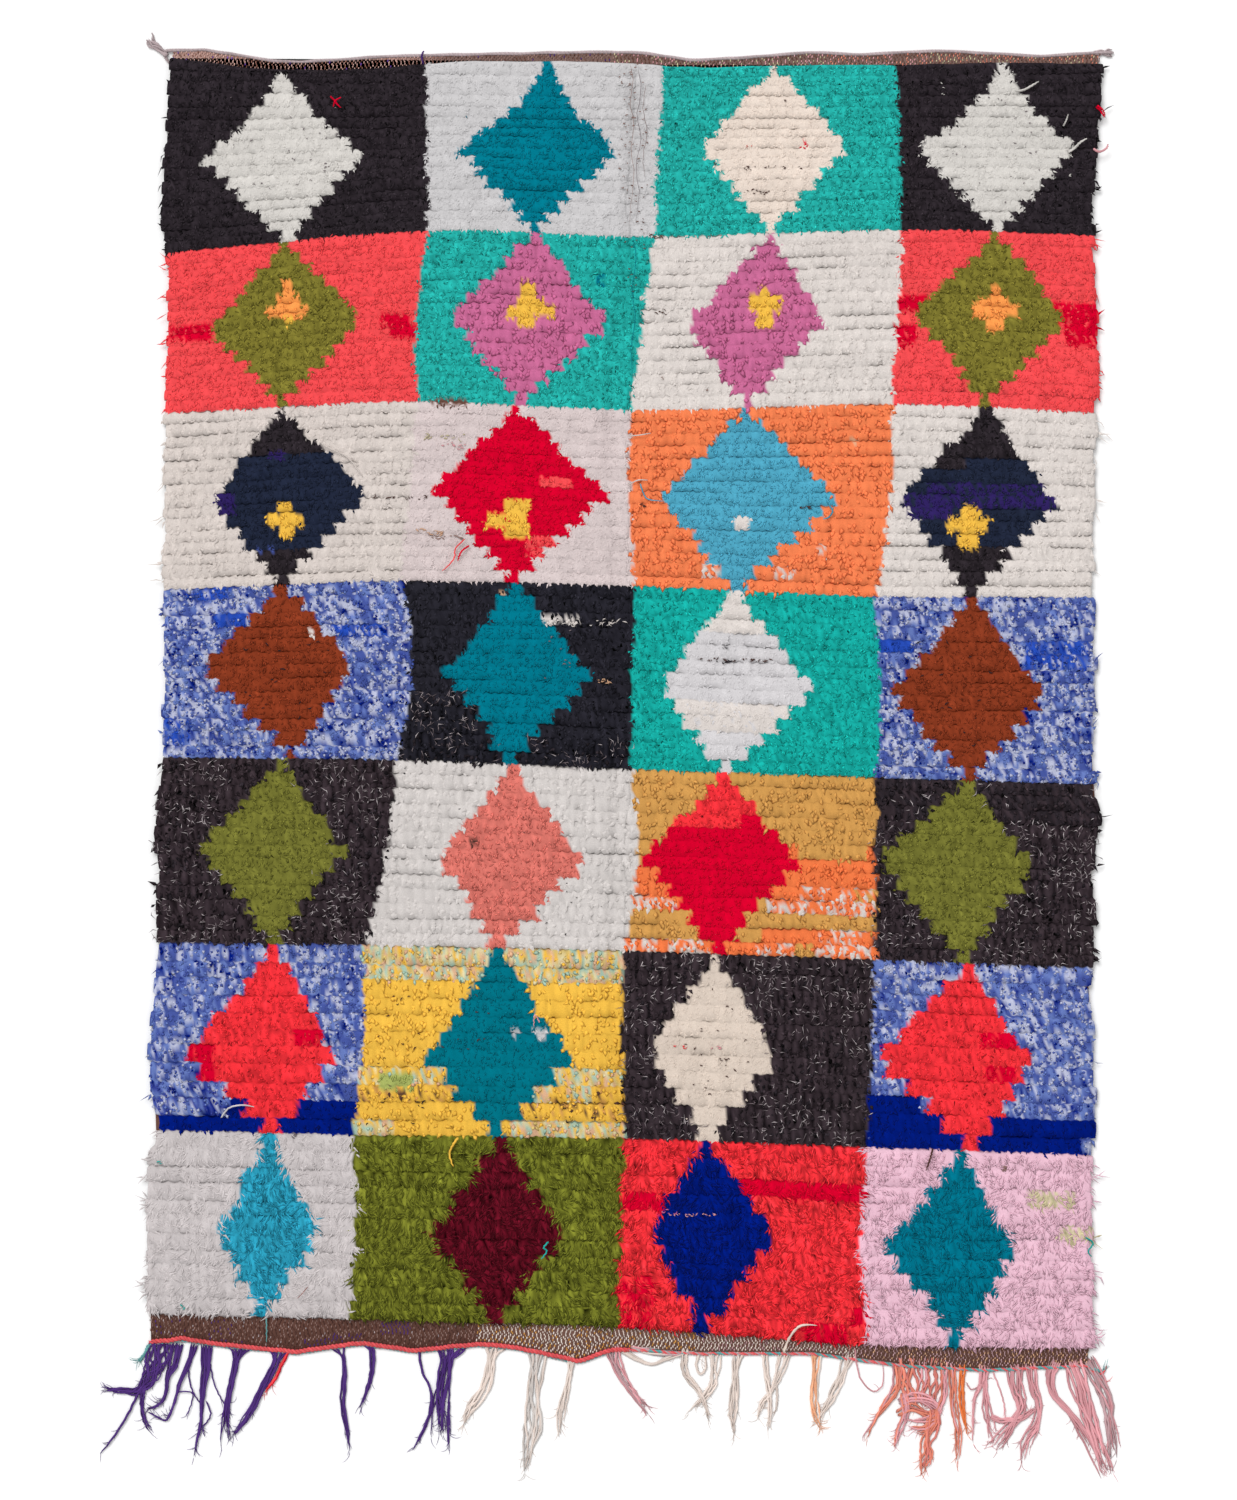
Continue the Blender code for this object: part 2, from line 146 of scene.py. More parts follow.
# every dyed yarn by name, in the screen's 0 to 255
yarns = {
    "black": (44, 38, 43),
    "blueBlack": (37, 36, 44),
    "charcoal": (58, 48, 53),
    "ashGrey": (130, 118, 122),
    "paleGrey": (190, 180, 182),
    "silver": (205, 201, 196),
    "coolWhite": (196, 194, 195),
    "warmWhite": (213, 205, 200),
    "pinkWhite": (207, 197, 191),
    "mistWhite": (205, 191, 190),
    "chalk": (204, 198, 195),
    "lilacWhite": (203, 200, 202),
    "shagWhite": (194, 187, 187),
    "cream": (223, 208, 196),
    "ecru": (210, 195, 182),
    "petrol": (0, 122, 143),
    "teal": (0, 119, 140),
    "deepTeal": (0, 115, 139),
    "jade": (37, 172, 164),
    "seaJade": (22, 167, 158),
    "sky": (80, 166, 194),
    "turquoise": (44, 155, 184),
    "royal": (0, 25, 120),
    "blue": (70, 86, 157),
    "paleBlue": (102, 122, 186),
    "heatherWhite": (178, 182, 206),
    "navy": (33, 40, 60),
    "purpleNavy": (48, 34, 96),
    "coral": (243, 78, 82),
    "crimson": (214, 0, 44),
    "salmon": (217, 117, 106),
    "burgundy": (90, 13, 29),
    "rust": (136, 57, 32),
    "brown": (84, 56, 50),
    "orange": (243, 130, 82),
    "lightOrange": (250, 156, 80),
    "ochre": (207, 153, 82),
    "yellow": (238, 187, 73),
    "paleYellow": (212, 186, 116),
    "peach": (216, 172, 138),
    "mint": (166, 194, 176),
    "olive": (125, 118, 47),
    "leaf": (114, 114, 48),
    "khaki": (196, 186, 150),
    "orchid": (200, 106, 150),
    "pink": (227, 184, 201),
    "purple": (82, 52, 122),
    "ivory": (227, 212, 203),
    "rose": (219, 158, 164),
    "apricot": (226, 138, 116),
    "mauve": (176, 160, 162),
    "paleOlive": (164, 174, 96),
    "redCoral": (238, 50, 58),
    "moss": (106, 110, 36),
    "darkPetrol": (0, 112, 130),
    "deepBlue": (56, 68, 150),
    "butter": (216, 204, 160),
    "knotPink": (214, 128, 118),
    "deepOrange": (240, 122, 70),
    "endBrown": (118, 86, 76),
    "cobalt": (38, 74, 176),
    "taupe": (150, 120, 112),
    "coralCord": (226, 92, 96),
    "greyTeal": (108, 164, 164),
    "dustyRose": (190, 156, 160),
    "apricotPale": (240, 178, 140),
    "apricotDeep": (238, 130, 72),
    "earth": (112, 78, 68),
}
yarnNames = list(yarns)
screen = np.array([yarns[name] for name in yarnNames]) / 255
yarnColours = np.where(screen > 0.04045, ((screen + 0.055) / 1.055) ** 2.4, screen / 12.92)


def yarn(name):
    return yarnNames.index(name)


# the weaving's lattice: eight lines across, head to foot, each met at the left edge, at the
# three seams between the four columns of blocks, and at the right edge
rug = {
    "lineX": np.array(
        [
            [-0.692, -0.304, 0.052, 0.398, 0.71],
            [-0.692, -0.301, 0.037, 0.408, 0.696],
            [-0.696, -0.317, 0.002, 0.392, 0.702],
            [-0.698, -0.341, 0.007, 0.367, 0.698],
            [-0.699, -0.351, 0.003, 0.369, 0.698],
            [-0.705, -0.399, -0.006, 0.369, 0.692],
            [-0.705, -0.414, -0.006, 0.355, 0.695],
            [-0.722, -0.421, -0.018, 0.358, 0.695],
        ]
    ),
    "lineY": np.array(
        [
            [0.969, 0.96, 0.957, 0.958, 0.962],
            [0.675, 0.708, 0.7, 0.71, 0.701],
            [0.435, 0.453, 0.44, 0.449, 0.436],
            [0.171, 0.184, 0.177, 0.161, 0.159],
            [-0.08, -0.084, -0.098, -0.11, -0.12],
            [-0.357, -0.361, -0.37, -0.383, -0.396],
            [-0.638, -0.645, -0.651, -0.664, -0.676],
            [-0.913, -0.921, -0.933, -0.96, -0.965],
        ]
    ),
    "knotRows": (16, 14, 15, 13, 13, 11, 11),
    # where the pile begins at the head, in the photograph's pixels
    "headEdge": [
        (168, 57.5), (229, 66.0), (255, 69.0), (281, 70.5), (329, 71.0), (388, 68.5), (428, 64.5),
        (477, 61.5), (592, 62.0), (631, 63.5), (669, 67.0), (700, 68.0), (775, 66.0), (898, 65.5),
        (1003, 63.0), (1095, 64.0),
    ],
    # how far each seam bows to the right half way down each block, in metres
    "seamBow": np.array(
        [
            [0.0, 0.0, 0.002],
            [-0.009, 0.0, 0.004],
            [0.0, -0.003, 0.012],
            [0.021, 0.0, 0.008],
            [0.012, 0.013, 0.0],
            [0.008, -0.004, 0.003],
            [0.008, 0.0, -0.008],
        ]
    ),
    # where the pile's two sides lie at heights from foot to head
    "leftSide": np.array(
        [
            [-0.954, -0.722], [-0.808, -0.725], [-0.698, -0.72], [-0.639, -0.706], [-0.578, -0.72],
            [-0.499, -0.719], [-0.357, -0.706], [-0.264, -0.707], [-0.211, -0.715], [-0.144, -0.705],
            [-0.08, -0.699], [0.171, -0.698], [0.435, -0.696], [0.675, -0.693], [0.756, -0.701],
            [0.966, -0.689],
        ]
    ),
    "rightSide": np.array(
        [
            [-0.989, 0.692], [-0.894, 0.7], [-0.708, 0.69], [-0.585, 0.698], [-0.499, 0.701],
            [-0.396, 0.692], [-0.318, 0.701], [-0.258, 0.695], [-0.145, 0.706], [-0.12, 0.698],
            [0.088, 0.7], [0.216, 0.696], [0.576, 0.704], [0.701, 0.696], [0.846, 0.702],
            [0.906, 0.713], [0.966, 0.71],
        ]
    ),
}


def smoothShares(position, count):
    # a Catmull-Rom curve: which four even points it mixes at each position, and their shares
    first = np.clip(np.floor(position).astype(int), 0, count - 2)
    t = position - first
    shares = np.stack(
        [
            -0.5 * t + t**2 - 0.5 * t**3,
            1 - 2.5 * t**2 + 1.5 * t**3,
            0.5 * t + 2 * t**2 - 1.5 * t**3,
            -0.5 * t**2 + 0.5 * t**3,
        ]
    )
    return [first + step for step in (-1, 0, 1, 2)], shares


def runOn(grid):
    # the grid with one more row and column on every side, each running straight on
    for axis in range(2):
        grid = np.moveaxis(grid, axis, 0)
        grid = np.concatenate([[2 * grid[0] - grid[1]], grid, [2 * grid[-1] - grid[-2]]])
        grid = np.moveaxis(grid, 0, axis)
    return grid


def onRug(across, down):
    # the place so many blocks across and down, on a smooth surface through the lattice
    across, down = np.broadcast_arrays(np.asarray(across, float), np.asarray(down, float))
    rows, rowShares = smoothShares(down, 8)
    columns, columnShares = smoothShares(across, 5)
    pairs = [(i, j) for i in range(4) for j in range(4)]
    return [
        sum(rowShares[i] * columnShares[j] * grid[rows[i] + 1, columns[j] + 1] for i, j in pairs)
        for grid in (runOn(rug["lineX"]), runOn(rug["lineY"]))
    ]


def sideAt(side, y):
    return np.interp(y, rug[side][:, 0], rug[side][:, 1])


# the blocks, row by row from the head: ground yarn, its fibre, lozenge yarn, its fibre
blocks = [
    [
        "black fleece silver fleece", "coolWhite lint petrol fleece", "jade felted cream fleece",
        "black fleece silver fleece",
    ],
    [
        "coral felted olive felted", "jade felted orchid rag", "warmWhite tuft orchid rag",
        "coral felted olive felted",
    ],
    [
        "pinkWhite tuft navy fleece", "mistWhite lint crimson felted", "orange rag sky fleece",
        "warmWhite tuft navy fleece",
    ],
    [
        "blue heather rust fleece", "blueBlack tuft teal fleece", "seaJade felted lilacWhite fleece",
        "blue heather rust fleece",
    ],
    [
        "charcoal melange leaf felted", "chalk rag salmon fleece", "ochre rag crimson felted",
        "charcoal melange leaf felted",
    ],
    [
        "blue dimHeather redCoral fleece", "yellow rag darkPetrol fleece",
        "charcoal melange ecru fleece", "blue dimHeather redCoral fleece",
    ],
    [
        "shagWhite shag turquoise shag", "moss shag burgundy shag", "redCoral shag royal shag",
        "pink shag deepTeal shag",
    ],
]

# each lozenge: where its top and bottom tips lie across, how far it reaches left and right at
# its waist, and the waist's height
lozenges = np.array(
    [
        [-0.518, -0.512, -0.636, -0.398, 0.818],
        [-0.121, -0.145, -0.255, -0.017, 0.827],
        [0.218, 0.21, 0.108, 0.329, 0.833],
        [0.56, 0.551, 0.433, 0.67, 0.831],
        [-0.514, -0.518, -0.626, -0.399, 0.569],
        [-0.143, -0.165, -0.266, -0.032, 0.576],
        [0.211, 0.177, 0.087, 0.294, 0.57],
        [0.55, 0.535, 0.427, 0.657, 0.575],
        [-0.52, -0.518, -0.627, -0.392, 0.307],
        [-0.167, -0.173, -0.292, -0.032, 0.317],
        [0.177, 0.162, 0.046, 0.309, 0.307],
        [0.535, 0.513, 0.404, 0.638, 0.304],
        [-0.518, -0.507, -0.639, -0.411, 0.056],
        [-0.173, -0.176, -0.275, -0.057, 0.045],
        [0.158, 0.143, 0.044, 0.278, 0.024],
        [0.513, 0.505, 0.392, 0.624, 0.017],
        [-0.522, -0.529, -0.645, -0.426, -0.221],
        [-0.176, -0.195, -0.284, -0.066, -0.237],
        [0.143, 0.13, 0.019, 0.255, -0.236],
        [0.504, 0.5, 0.373, 0.608, -0.239],
        [-0.531, -0.533, -0.664, -0.441, -0.529],
        [-0.195, -0.201, -0.304, -0.086, -0.531],
        [0.128, 0.117, 0.029, 0.219, -0.529],
        [0.507, 0.511, 0.37, 0.603, -0.54],
        [-0.54, -0.55, -0.615, -0.464, -0.79],
        [-0.194, -0.201, -0.295, -0.096, -0.795],
        [0.116, 0.111, 0.03, 0.216, -0.793],
        [0.491, 0.489, 0.384, 0.581, -0.815],
    ]
).reshape(7, 4, 5)

# how strongly a lozenge is pinched towards its top tip; none of the others is
pinched = {(0, 0): 1.5, (0, 1): 1.35, (0, 3): 1.4}

# odd ends of other yarn, in the order of their working: what they lie in, the yarn, its fibre
# (none keeps the block's own), the block that they keep to and whether they are free of its
# rows; each place is a middle and a size in the photograph's pixels and the share of its knots
patches = table(
    "over yarn fibre block free places",
    [
        ("all", "black", None, (0, 0), False, [(289, 66, 60, 10, 1.0)]),
        ("ground", "crimson", None, None, True, [
            (191, 333, 40, 15, 0.95), (395, 321, 26, 11, 0.95), (404, 332, 26, 11, 0.95),
            (912, 303, 30, 18, 0.9), (905, 335, 20, 22, 0.9), (1073, 314, 50, 22, 0.9),
            (1081, 336, 34, 22, 0.9),
        ]),
        ("all", "warmWhite", "tuft", None, True, [(562, 621, 44, 6, 0.65)]),
        ("all", "lightOrange", "tuft", None, True, [
            (288, 289, 13, 18, 1.0), (289, 302, 22, 12, 1.0), (288, 312, 38, 10, 1.0),
            (995, 292, 12, 14, 1.0), (993, 302, 28, 10, 1.0), (995, 311, 45, 14, 1.0),
            (994, 325, 14, 14, 1.0),
        ]),
        ("all", "yellow", "tuft", None, True, [
            (289, 321, 10, 8, 1.0), (528, 292, 16, 20, 1.0), (531, 302, 26, 10, 1.0),
            (532, 312, 48, 12, 1.0), (526, 321, 14, 10, 1.0), (764, 292, 10, 12, 1.0),
            (765, 304, 32, 16, 1.0), (765, 320, 14, 16, 1.0),
        ]),
        ("all", "teal", None, None, False, [(600, 279, 12, 14, 0.8)]),
        ("lozenge", "black", None, (2, 0), False, [(285, 431, 90, 50, 1.0), (285, 574, 90, 42, 1.0)]),
        ("all", "yellow", "tuft", None, True, [
            (286, 508, 13, 12, 1.0), (286, 520, 38, 13, 1.0), (287, 531, 14, 12, 1.0),
            (517, 518, 24, 38, 1.0), (496, 520, 22, 14, 1.0),
        ]),
        ("lozenge", "coral", None, None, False, [(556, 482, 34, 14, 0.9), (541, 545, 30, 20, 0.75)]),
        ("all", "warmWhite", "tuft", None, False, [(742, 526, 19, 14, 1.0)]),
        ("ground", "pinkWhite", None, (2, 2), False, [
            (713, 573, 24, 14, 0.55), (784, 574, 20, 15, 0.5),
        ]),
        ("lozenge", "black", None, (2, 3), False, [(985, 436, 120, 56, 1.0)]),
        ("lozenge", "purpleNavy", None, (2, 3), False, [(985, 500, 170, 24, 0.6)]),
        ("lozenge", "black", None, (2, 3), False, [(975, 574, 110, 50, 1.0)]),
        ("all", "yellow", "tuft", None, True, [
            (970, 512, 16, 14, 1.0), (967, 525, 44, 15, 1.0), (968, 540, 19, 15, 1.0),
        ]),
        ("all", "warmWhite", "tuft", None, False, [(312, 632, 8, 6, 1.0)]),
        ("ground", "peach", None, None, False, [(505, 597, 8, 8, 0.8)]),
        ("ground", "blueBlack", "melange", (3, 1), False, [
            (470, 722, 120, 60, 0.8), (520, 752, 260, 26, 0.8),
        ]),
        ("lozenge", "warmWhite", None, None, False, [
            (735, 615, 90, 40, 1.0), (735, 716, 120, 26, 0.9),
        ]),
        ("lozenge", "crimson", None, None, False, [(805, 145, 8, 6, 0.8)]),
        ("ground", "cobalt", "fleece", (3, 0), False, [(231, 620, 34, 12, 0.8)]),
        ("ground", "cobalt", "fleece", (3, 3), False, [(893, 641, 38, 12, 1.0)]),
        ("ground", "pinkWhite", None, None, False, [(821, 550, 9, 14, 0.4)]),
        ("ground", "peach", None, None, False, [(855, 444, 5, 8, 0.6)]),
        ("lozenge", "purpleNavy", None, None, False, [(222, 505, 26, 14, 0.9), (278, 455, 16, 8, 0.8)]),
        ("lozenge", "blue", "fleece", None, False, [(267, 550, 18, 5, 0.4)]),
        ("lozenge", "purpleNavy", None, None, False, [(928, 513, 44, 14, 0.8)]),
        ("all", "brown", None, None, False, [(473, 842, 7, 7, 1.0)]),
        ("lozenge", "redCoral", None, (4, 2), False, [(725, 800, 160, 54, 1.0)]),
        ("lozenge", "crimson", None, (4, 2), False, [(752, 821, 22, 12, 1.0)]),
        ("ground", "deepOrange", "rag", (4, 2), False, [
            (789, 846, 14, 12, 1.0), (830, 874, 180, 42, 1.0), (660, 880, 100, 34, 1.0),
        ]),
        ("ground", "deepOrange", "flecked", (4, 2), False, [
            (835, 896, 80, 12, 0.7), (820, 905, 110, 12, 1.0), (660, 904, 70, 12, 1.0),
        ]),
        ("ground", "deepOrange", "rag", (4, 2), False, [(791, 933, 58, 12, 1.0)]),
        ("ground", "deepOrange", "flecked", (4, 2), False, [
            (848, 933, 60, 12, 1.0), (750, 948, 260, 14, 1.0),
        ]),
        ("ground", "deepOrange", "rag", (4, 2), False, [(738, 948, 40, 14, 1.0)]),
        ("ground", "ochre", "rag", (4, 2), False, [(804, 948, 22, 14, 1.0)]),
        ("ground", "black", "tuft", (4, 3), False, [(990, 797, 230, 46, 0.55)]),
        ("lozenge", "crimson", None, None, False, [(310, 1040, 34, 18, 0.8)]),
        ("ground", "royal", "tuft", (5, 0), False, [(270, 1119, 240, 26, 1.0)]),
        ("ground", "paleYellow", "confetti", (5, 1), False, [
            (490, 964, 280, 44, 1.0), (490, 1080, 280, 32, 0.8),
        ]),
        ("ground", "yellow", "speckled", (5, 1), False, [
            (575, 1106, 110, 24, 1.0), (422, 1100, 150, 16, 1.0),
        ]),
        ("ground", "paleYellow", "confetti", (5, 1), False, [
            (570, 1127, 120, 16, 1.0), (372, 1127, 46, 16, 1.0),
        ]),
        ("ground", "paleOlive", "fleece", None, True, [(396, 1080, 34, 18, 0.9)]),
        ("all", "coolWhite", "tuft", None, False, [(541, 1032, 11, 9, 1.0), (516, 1031, 8, 6, 0.8)]),
        ("ground", "royal", "tuft", (5, 3), False, [
            (893, 1119, 56, 54, 1.0), (1000, 1131, 240, 30, 1.0),
        ]),
        ("ground", "deepBlue", "dimHeather", (5, 0), False, [(190, 1092, 80, 40, 0.6)]),
        ("ground", "cobalt", "fleece", (5, 0), False, [(186, 1098, 50, 10, 0.7)]),
        ("lozenge", "crimson", None, None, False, [(199, 1061, 36, 28, 0.9)]),
        ("ground", "cobalt", "fleece", (3, 3), False, [(1056, 658, 64, 30, 0.62)]),
        ("ground", "cobalt", "fleece", (3, 0), False, [
            (210, 597, 44, 12, 0.6), (360, 630, 56, 14, 0.6), (178, 730, 26, 30, 0.5),
        ]),
        ("lozenge", "crimson", None, None, False, [
            (998, 1036, 36, 18, 0.8), (1000, 1080, 32, 18, 0.7),
        ]),
        ("lozenge", "warmWhite", None, None, False, [(1003, 1007, 8, 8, 0.8)]),
        ("ground", "crimson", None, (6, 2), False, [
            (802, 1190, 136, 20, 1.0), (835, 1324, 60, 18, 0.9), (645, 1202, 46, 24, 0.95),
            (636, 1305, 34, 50, 0.6),
        ]),
        ("ground", "khaki", None, (6, 3), False, [
            (1050, 1203, 44, 12, 0.65), (1076, 1234, 36, 12, 0.6),
        ]),
        ("all", "earth", None, None, False, [(450, 403, 40, 5, 0.9)]),
    ],
)

# how each kind of fibre lies, in metres: the width, length and flatness of a lock, how far its
# heading strays, locks to a metre of row, how far rows part, the roundness of its tufts, how
# tightly they gather, how dark the painted shade at a tuft's edges is, and how much its tone varies
fibres = table(
    "name width length flat stray locks part puff knit outline tone",
    [
        ("felted", 0.0034, 0.0082, 0.34, 0.95, 740, 0.18, 0.0008, 0.0, 0.03, 1.0),
        ("lint", 0.0034, 0.0082, 0.34, 0.95, 740, 0.17, 0.0008, 0.0, 0.03, 1.0),
        ("fleece", 0.0034, 0.0086, 0.34, 0.85, 720, 0.5, 0.0008, 0.0, 0.03, 1.0),
        ("tuft", 0.0048, 0.01, 0.3, 0.6, 520, 0.68, 0.0018, 0.2, 0.07, 1.0),
        ("rag", 0.008, 0.0125, 0.3, 0.55, 260, 0.64, 0.0024, 0.3, 0.11, 0.9),
        ("flecked", 0.0072, 0.011, 0.34, 0.5, 300, 0.8, 0.0026, 0.4, 0.14, 0.8),
        ("heather", 0.006, 0.0064, 0.34, 2.2, 640, 0.22, 0.001, 0.0, 0.04, 1.0),
        ("dimHeather", 0.0058, 0.0066, 0.34, 2.2, 640, 0.26, 0.001, 0.0, 0.04, 1.0),
        ("melange", 0.006, 0.01, 0.45, 0.8, 660, 0.55, 0.0056, 0.5, 0.58, 1.0),
        ("confetti", 0.0072, 0.01, 0.34, 0.6, 340, 0.6, 0.0026, 0.3, 0.1, 0.8),
        ("speckled", 0.007, 0.0105, 0.34, 0.6, 340, 0.8, 0.003, 0.35, 0.16, 0.8),
        ("shag", 0.003, 0.0165, 0.5, 0.4, 1120, 0.42, 0.0015, 0.1, 0.04, 2.0),
    ],
)
fibres = {fibre["name"]: fibre for fibre in fibres}
fibreNames = list(fibres)


def wordIndex(word):
    return yarnNames.index(word) if word in yarns else fibreNames.index(word)


blockDress = np.array([[[wordIndex(word) for word in block.split()] for block in line] for line in blocks])

# what a mixed fibre is spun from, beside its block's own yarn, with the share of each
mixtures = {
    "heather": [("heatherWhite", 0.31), ("royal", 0.06), ("paleBlue", 0.22)],
    "dimHeather": [("heatherWhite", 0.26), ("royal", 0.06), ("paleBlue", 0.28)],
    "melange": [("ashGrey", 0.28), ("paleGrey", 0.15), ("black", 0.08)],
    "flecked": [("pinkWhite", 0.42)],
    "confetti": [("mint", 0.24), ("peach", 0.22), ("yellow", 0.16), ("butter", 0.18)],
    "speckled": [("brown", 0.09), ("ochre", 0.12)],
}

# how lively each yarn's tone is, lock by lock
liveliness = dict.fromkeys(yarnNames, 0.08)
for names, value in (
    ("silver coolWhite warmWhite pinkWhite mistWhite chalk lilacWhite cream ecru", 0.022),
    ("rust turquoise royal cobalt navy salmon", 0.20),
    ("jade seaJade olive leaf", 0.29),
    ("moss burgundy black blueBlack charcoal", 0.44),
    ("orange deepOrange yellow petrol", 0.05),
    ("shagWhite", 0.042),
    ("pink", 0.010),
    ("redCoral", 0.32),
):
    liveliness |= dict.fromkeys(names.split(), value)
lively = np.array([liveliness[name] for name in yarnNames])
pale = yarnColours.mean(axis=1) > 0.5


def fibreValues(key):
    return np.array([fibres[name][key] for name in fibreNames])


# the pile's rows of knots, head to foot, and the line that each row starts on
rowCount = sum(rug["knotRows"])
rowBlock = np.repeat(np.arange(7), rug["knotRows"])
rowShare = np.concatenate([(np.arange(count) + 0.5) / count for count in rug["knotRows"]])
lineDown = np.concatenate([block + np.arange(count) / count for block, count in enumerate(rug["knotRows"])])
lineDown = np.append(lineDown, 7.0)
acrossPlaces = np.linspace(0, 4, 161)
lineReach, lineStep = 0.76, 0.005
linePlaces = np.linspace(-lineReach, lineReach, 305)
creasePlaces = onRug(1.88 + 0.11 * lineDown / 7, lineDown)[0]

# the rolls that the rows make: crest of a tuft, the dip between rows and the gap where rows
# part, the scallop of a tuft's lower edge, the long crease down the middle, the fall at the
# rims, the height of the last row's foot and how far the first row sinks to the weave
roll = {
    "crest": 0.0128,
    "luck": 0.0009,
    "dip": 0.0009,
    "gap": 0.0070,
    "tuftWidth": 0.0125,
    "scallop": 0.0034,
    "wave": 0.0024,
    "uneven": 0.10,
    "creaseDepth": 0.0045,
    "creaseHalfWidth": 0.011,
    "rimDrop": 0.0050,
    "rimWidth": 0.0045,
    "tuftReach": 0.85,
    "tuftSway": 0.8,
    "footHeight": 0.0085,
    "headSink": 0.0042,
    "sinkShare": 0.22,
    "seed": 3,
    "steps": (0.0, 0.08, 0.5, 0.92, 1.0),
    "profile": (0.0, 0.80, 1.0, 0.86, 0.0),
}
# where two rows part, and how the yarns' tone changes along a row, by the row and by the tuft
parting = {
    "longSpacing": 0.09,
    "spacing": 0.0125,
    "wander": 0.55,
    "byLine": 0.25,
    "level": 0.06,
    "steepness": 2.2,
}
cast = {"along": 0.025, "spacing": 0.20, "byRow": 0.02, "byTuft": 0.045}

# chance along the rows, at even places from this far left of the middle
chanceReach = 0.8
chance = np.random.default_rng(roll["seed"])
tuftShift = chance.random(rowCount + 1)
tuftWander = chance.uniform(-1, 1, (rowCount + 1, 40))
tuftLuck = chance.uniform(-1, 1, (rowCount + 1, 180))
longGaps = chance.uniform(-1, 1, (rowCount + 1, 24))
shortGaps = chance.uniform(-1, 1, (rowCount + 1, 160))
lineLuck = chance.uniform(-1, 1, rowCount + 1)
mixLuck = chance.random((3 * rowCount + 3, 400))
sideLuck = chance.uniform(-1, 1, (rowCount + 1, 2))
waveLuck = chance.uniform(-1, 1, (rowCount + 1, 40))
stepLuck = chance.uniform(-1, 1, (rowCount + 1, 3))
flankLuck = chance.uniform(-1, 1, (rowCount + 1, 4, 2))
patchLuck = chance.uniform(-1, 1, rowCount + 1)


def wander(table, row, x, spacing):
    # smooth wandering along a row through chance values at even places
    position = (x + chanceReach) / spacing
    first = np.clip(position.astype(int), 0, table.shape[1] - 2)
    t = np.clip(position - first, 0, 1)
    t = t * t * (3 - 2 * t)
    return table[row, first] * (1 - t) + table[row, first + 1] * t


def makeLines():
    # the lines between rows: even shares of their block, set off by a little chance, and
    # wavering, more so half way down a block
    lines = []
    for line, down in enumerate(lineDown):
        block = min(int(down), 6)
        inner = math.sin(math.pi * (down - block)) if down < 7 else 0.0
        offset = roll["uneven"] * lineLuck[line] / rug["knotRows"][block] * (inner > 0)
        heights = np.interp(linePlaces, *onRug(acrossPlaces, down + offset))
        near = np.clip(line + np.array([-1, 0, 1]), 0, rowCount)
        waves = [wander(waveLuck, one, linePlaces, 0.11) for one in near]
        fine = wander(shortGaps, line, linePlaces + 0.003, 0.028)
        if line == 0:
            heights = np.interp(linePlaces, *np.array([fromPhoto(*point) for point in rug["headEdge"]]).T)
        heights += roll["wave"] * (np.mean(waves, axis=0) * (0.35 + inner) + 0.35 * fine)
        lines.append(heights)
    return np.array(lines)


lineHeights = makeLines()


def lineAt(line, x):
    position = np.clip((x + lineReach) / lineStep, 0, len(linePlaces) - 1.001)
    first = position.astype(int)
    t = position - first
    return lineHeights[line, first] * (1 - t) + lineHeights[line, first + 1] * t


def tuftAt(row, x):
    # which tuft of its row a place is in, how far from its middle, and its roundness there
    sway = roll["tuftSway"] * wander(tuftWander, row, x, 0.045)
    place = (x + roll["tuftReach"]) / roll["tuftWidth"] + tuftShift[row] + sway
    cell = np.clip(place.astype(int), 0, tuftLuck.shape[1] - 1)
    centred = np.clip(place - cell - 0.5, -0.5, 0.5)
    return cell, centred, 1 - (2 * centred) ** 2


def clumpAt(row, x, share, width, shift, lean=0.0):
    # the chance value of the clump of knots at a place; a row has three layers of clumps
    layer = np.clip((share * 3).astype(int), 0, 2)
    cell = (x + chanceReach) / width + shift * tuftShift[row] + lean * layer
    return mixLuck[3 * row + layer, np.clip(cell.astype(int), 0, mixLuck.shape[1] - 1)]


def partingAt(line, x):
    # how far two rows part: long and short wandering, more on some lines than on others
    value = wander(longGaps, line, x, parting["longSpacing"]) + wander(shortGaps, line, x, parting["spacing"])
    value = parting["wander"] * value + parting["byLine"] * lineLuck[line] - parting["level"]
    return np.clip(value * parting["steepness"], 0, 1)


def castAt(row, x):
    # the yarn's own cast, which drifts along the rows and changes a little from row to row
    drift = cast["along"] * wander(longGaps, (row + 31) % rowCount, x, cast["spacing"])
    return 1 + drift + cast["byRow"] * lineLuck[(row + 11) % rowCount]


def yOn(row, x, share):
    # between a row's two lines; each lower line hangs in scallops, one to a tuft
    above = np.maximum(row - 1, 0)
    upper = lineAt(row, x) - roll["scallop"] * (tuftAt(above, x)[2] - 0.5) * (row > 0)
    lower = lineAt(row + 1, x) - roll["scallop"] * (tuftAt(row, x)[2] - 0.5)
    return upper + (lower - upper) * share


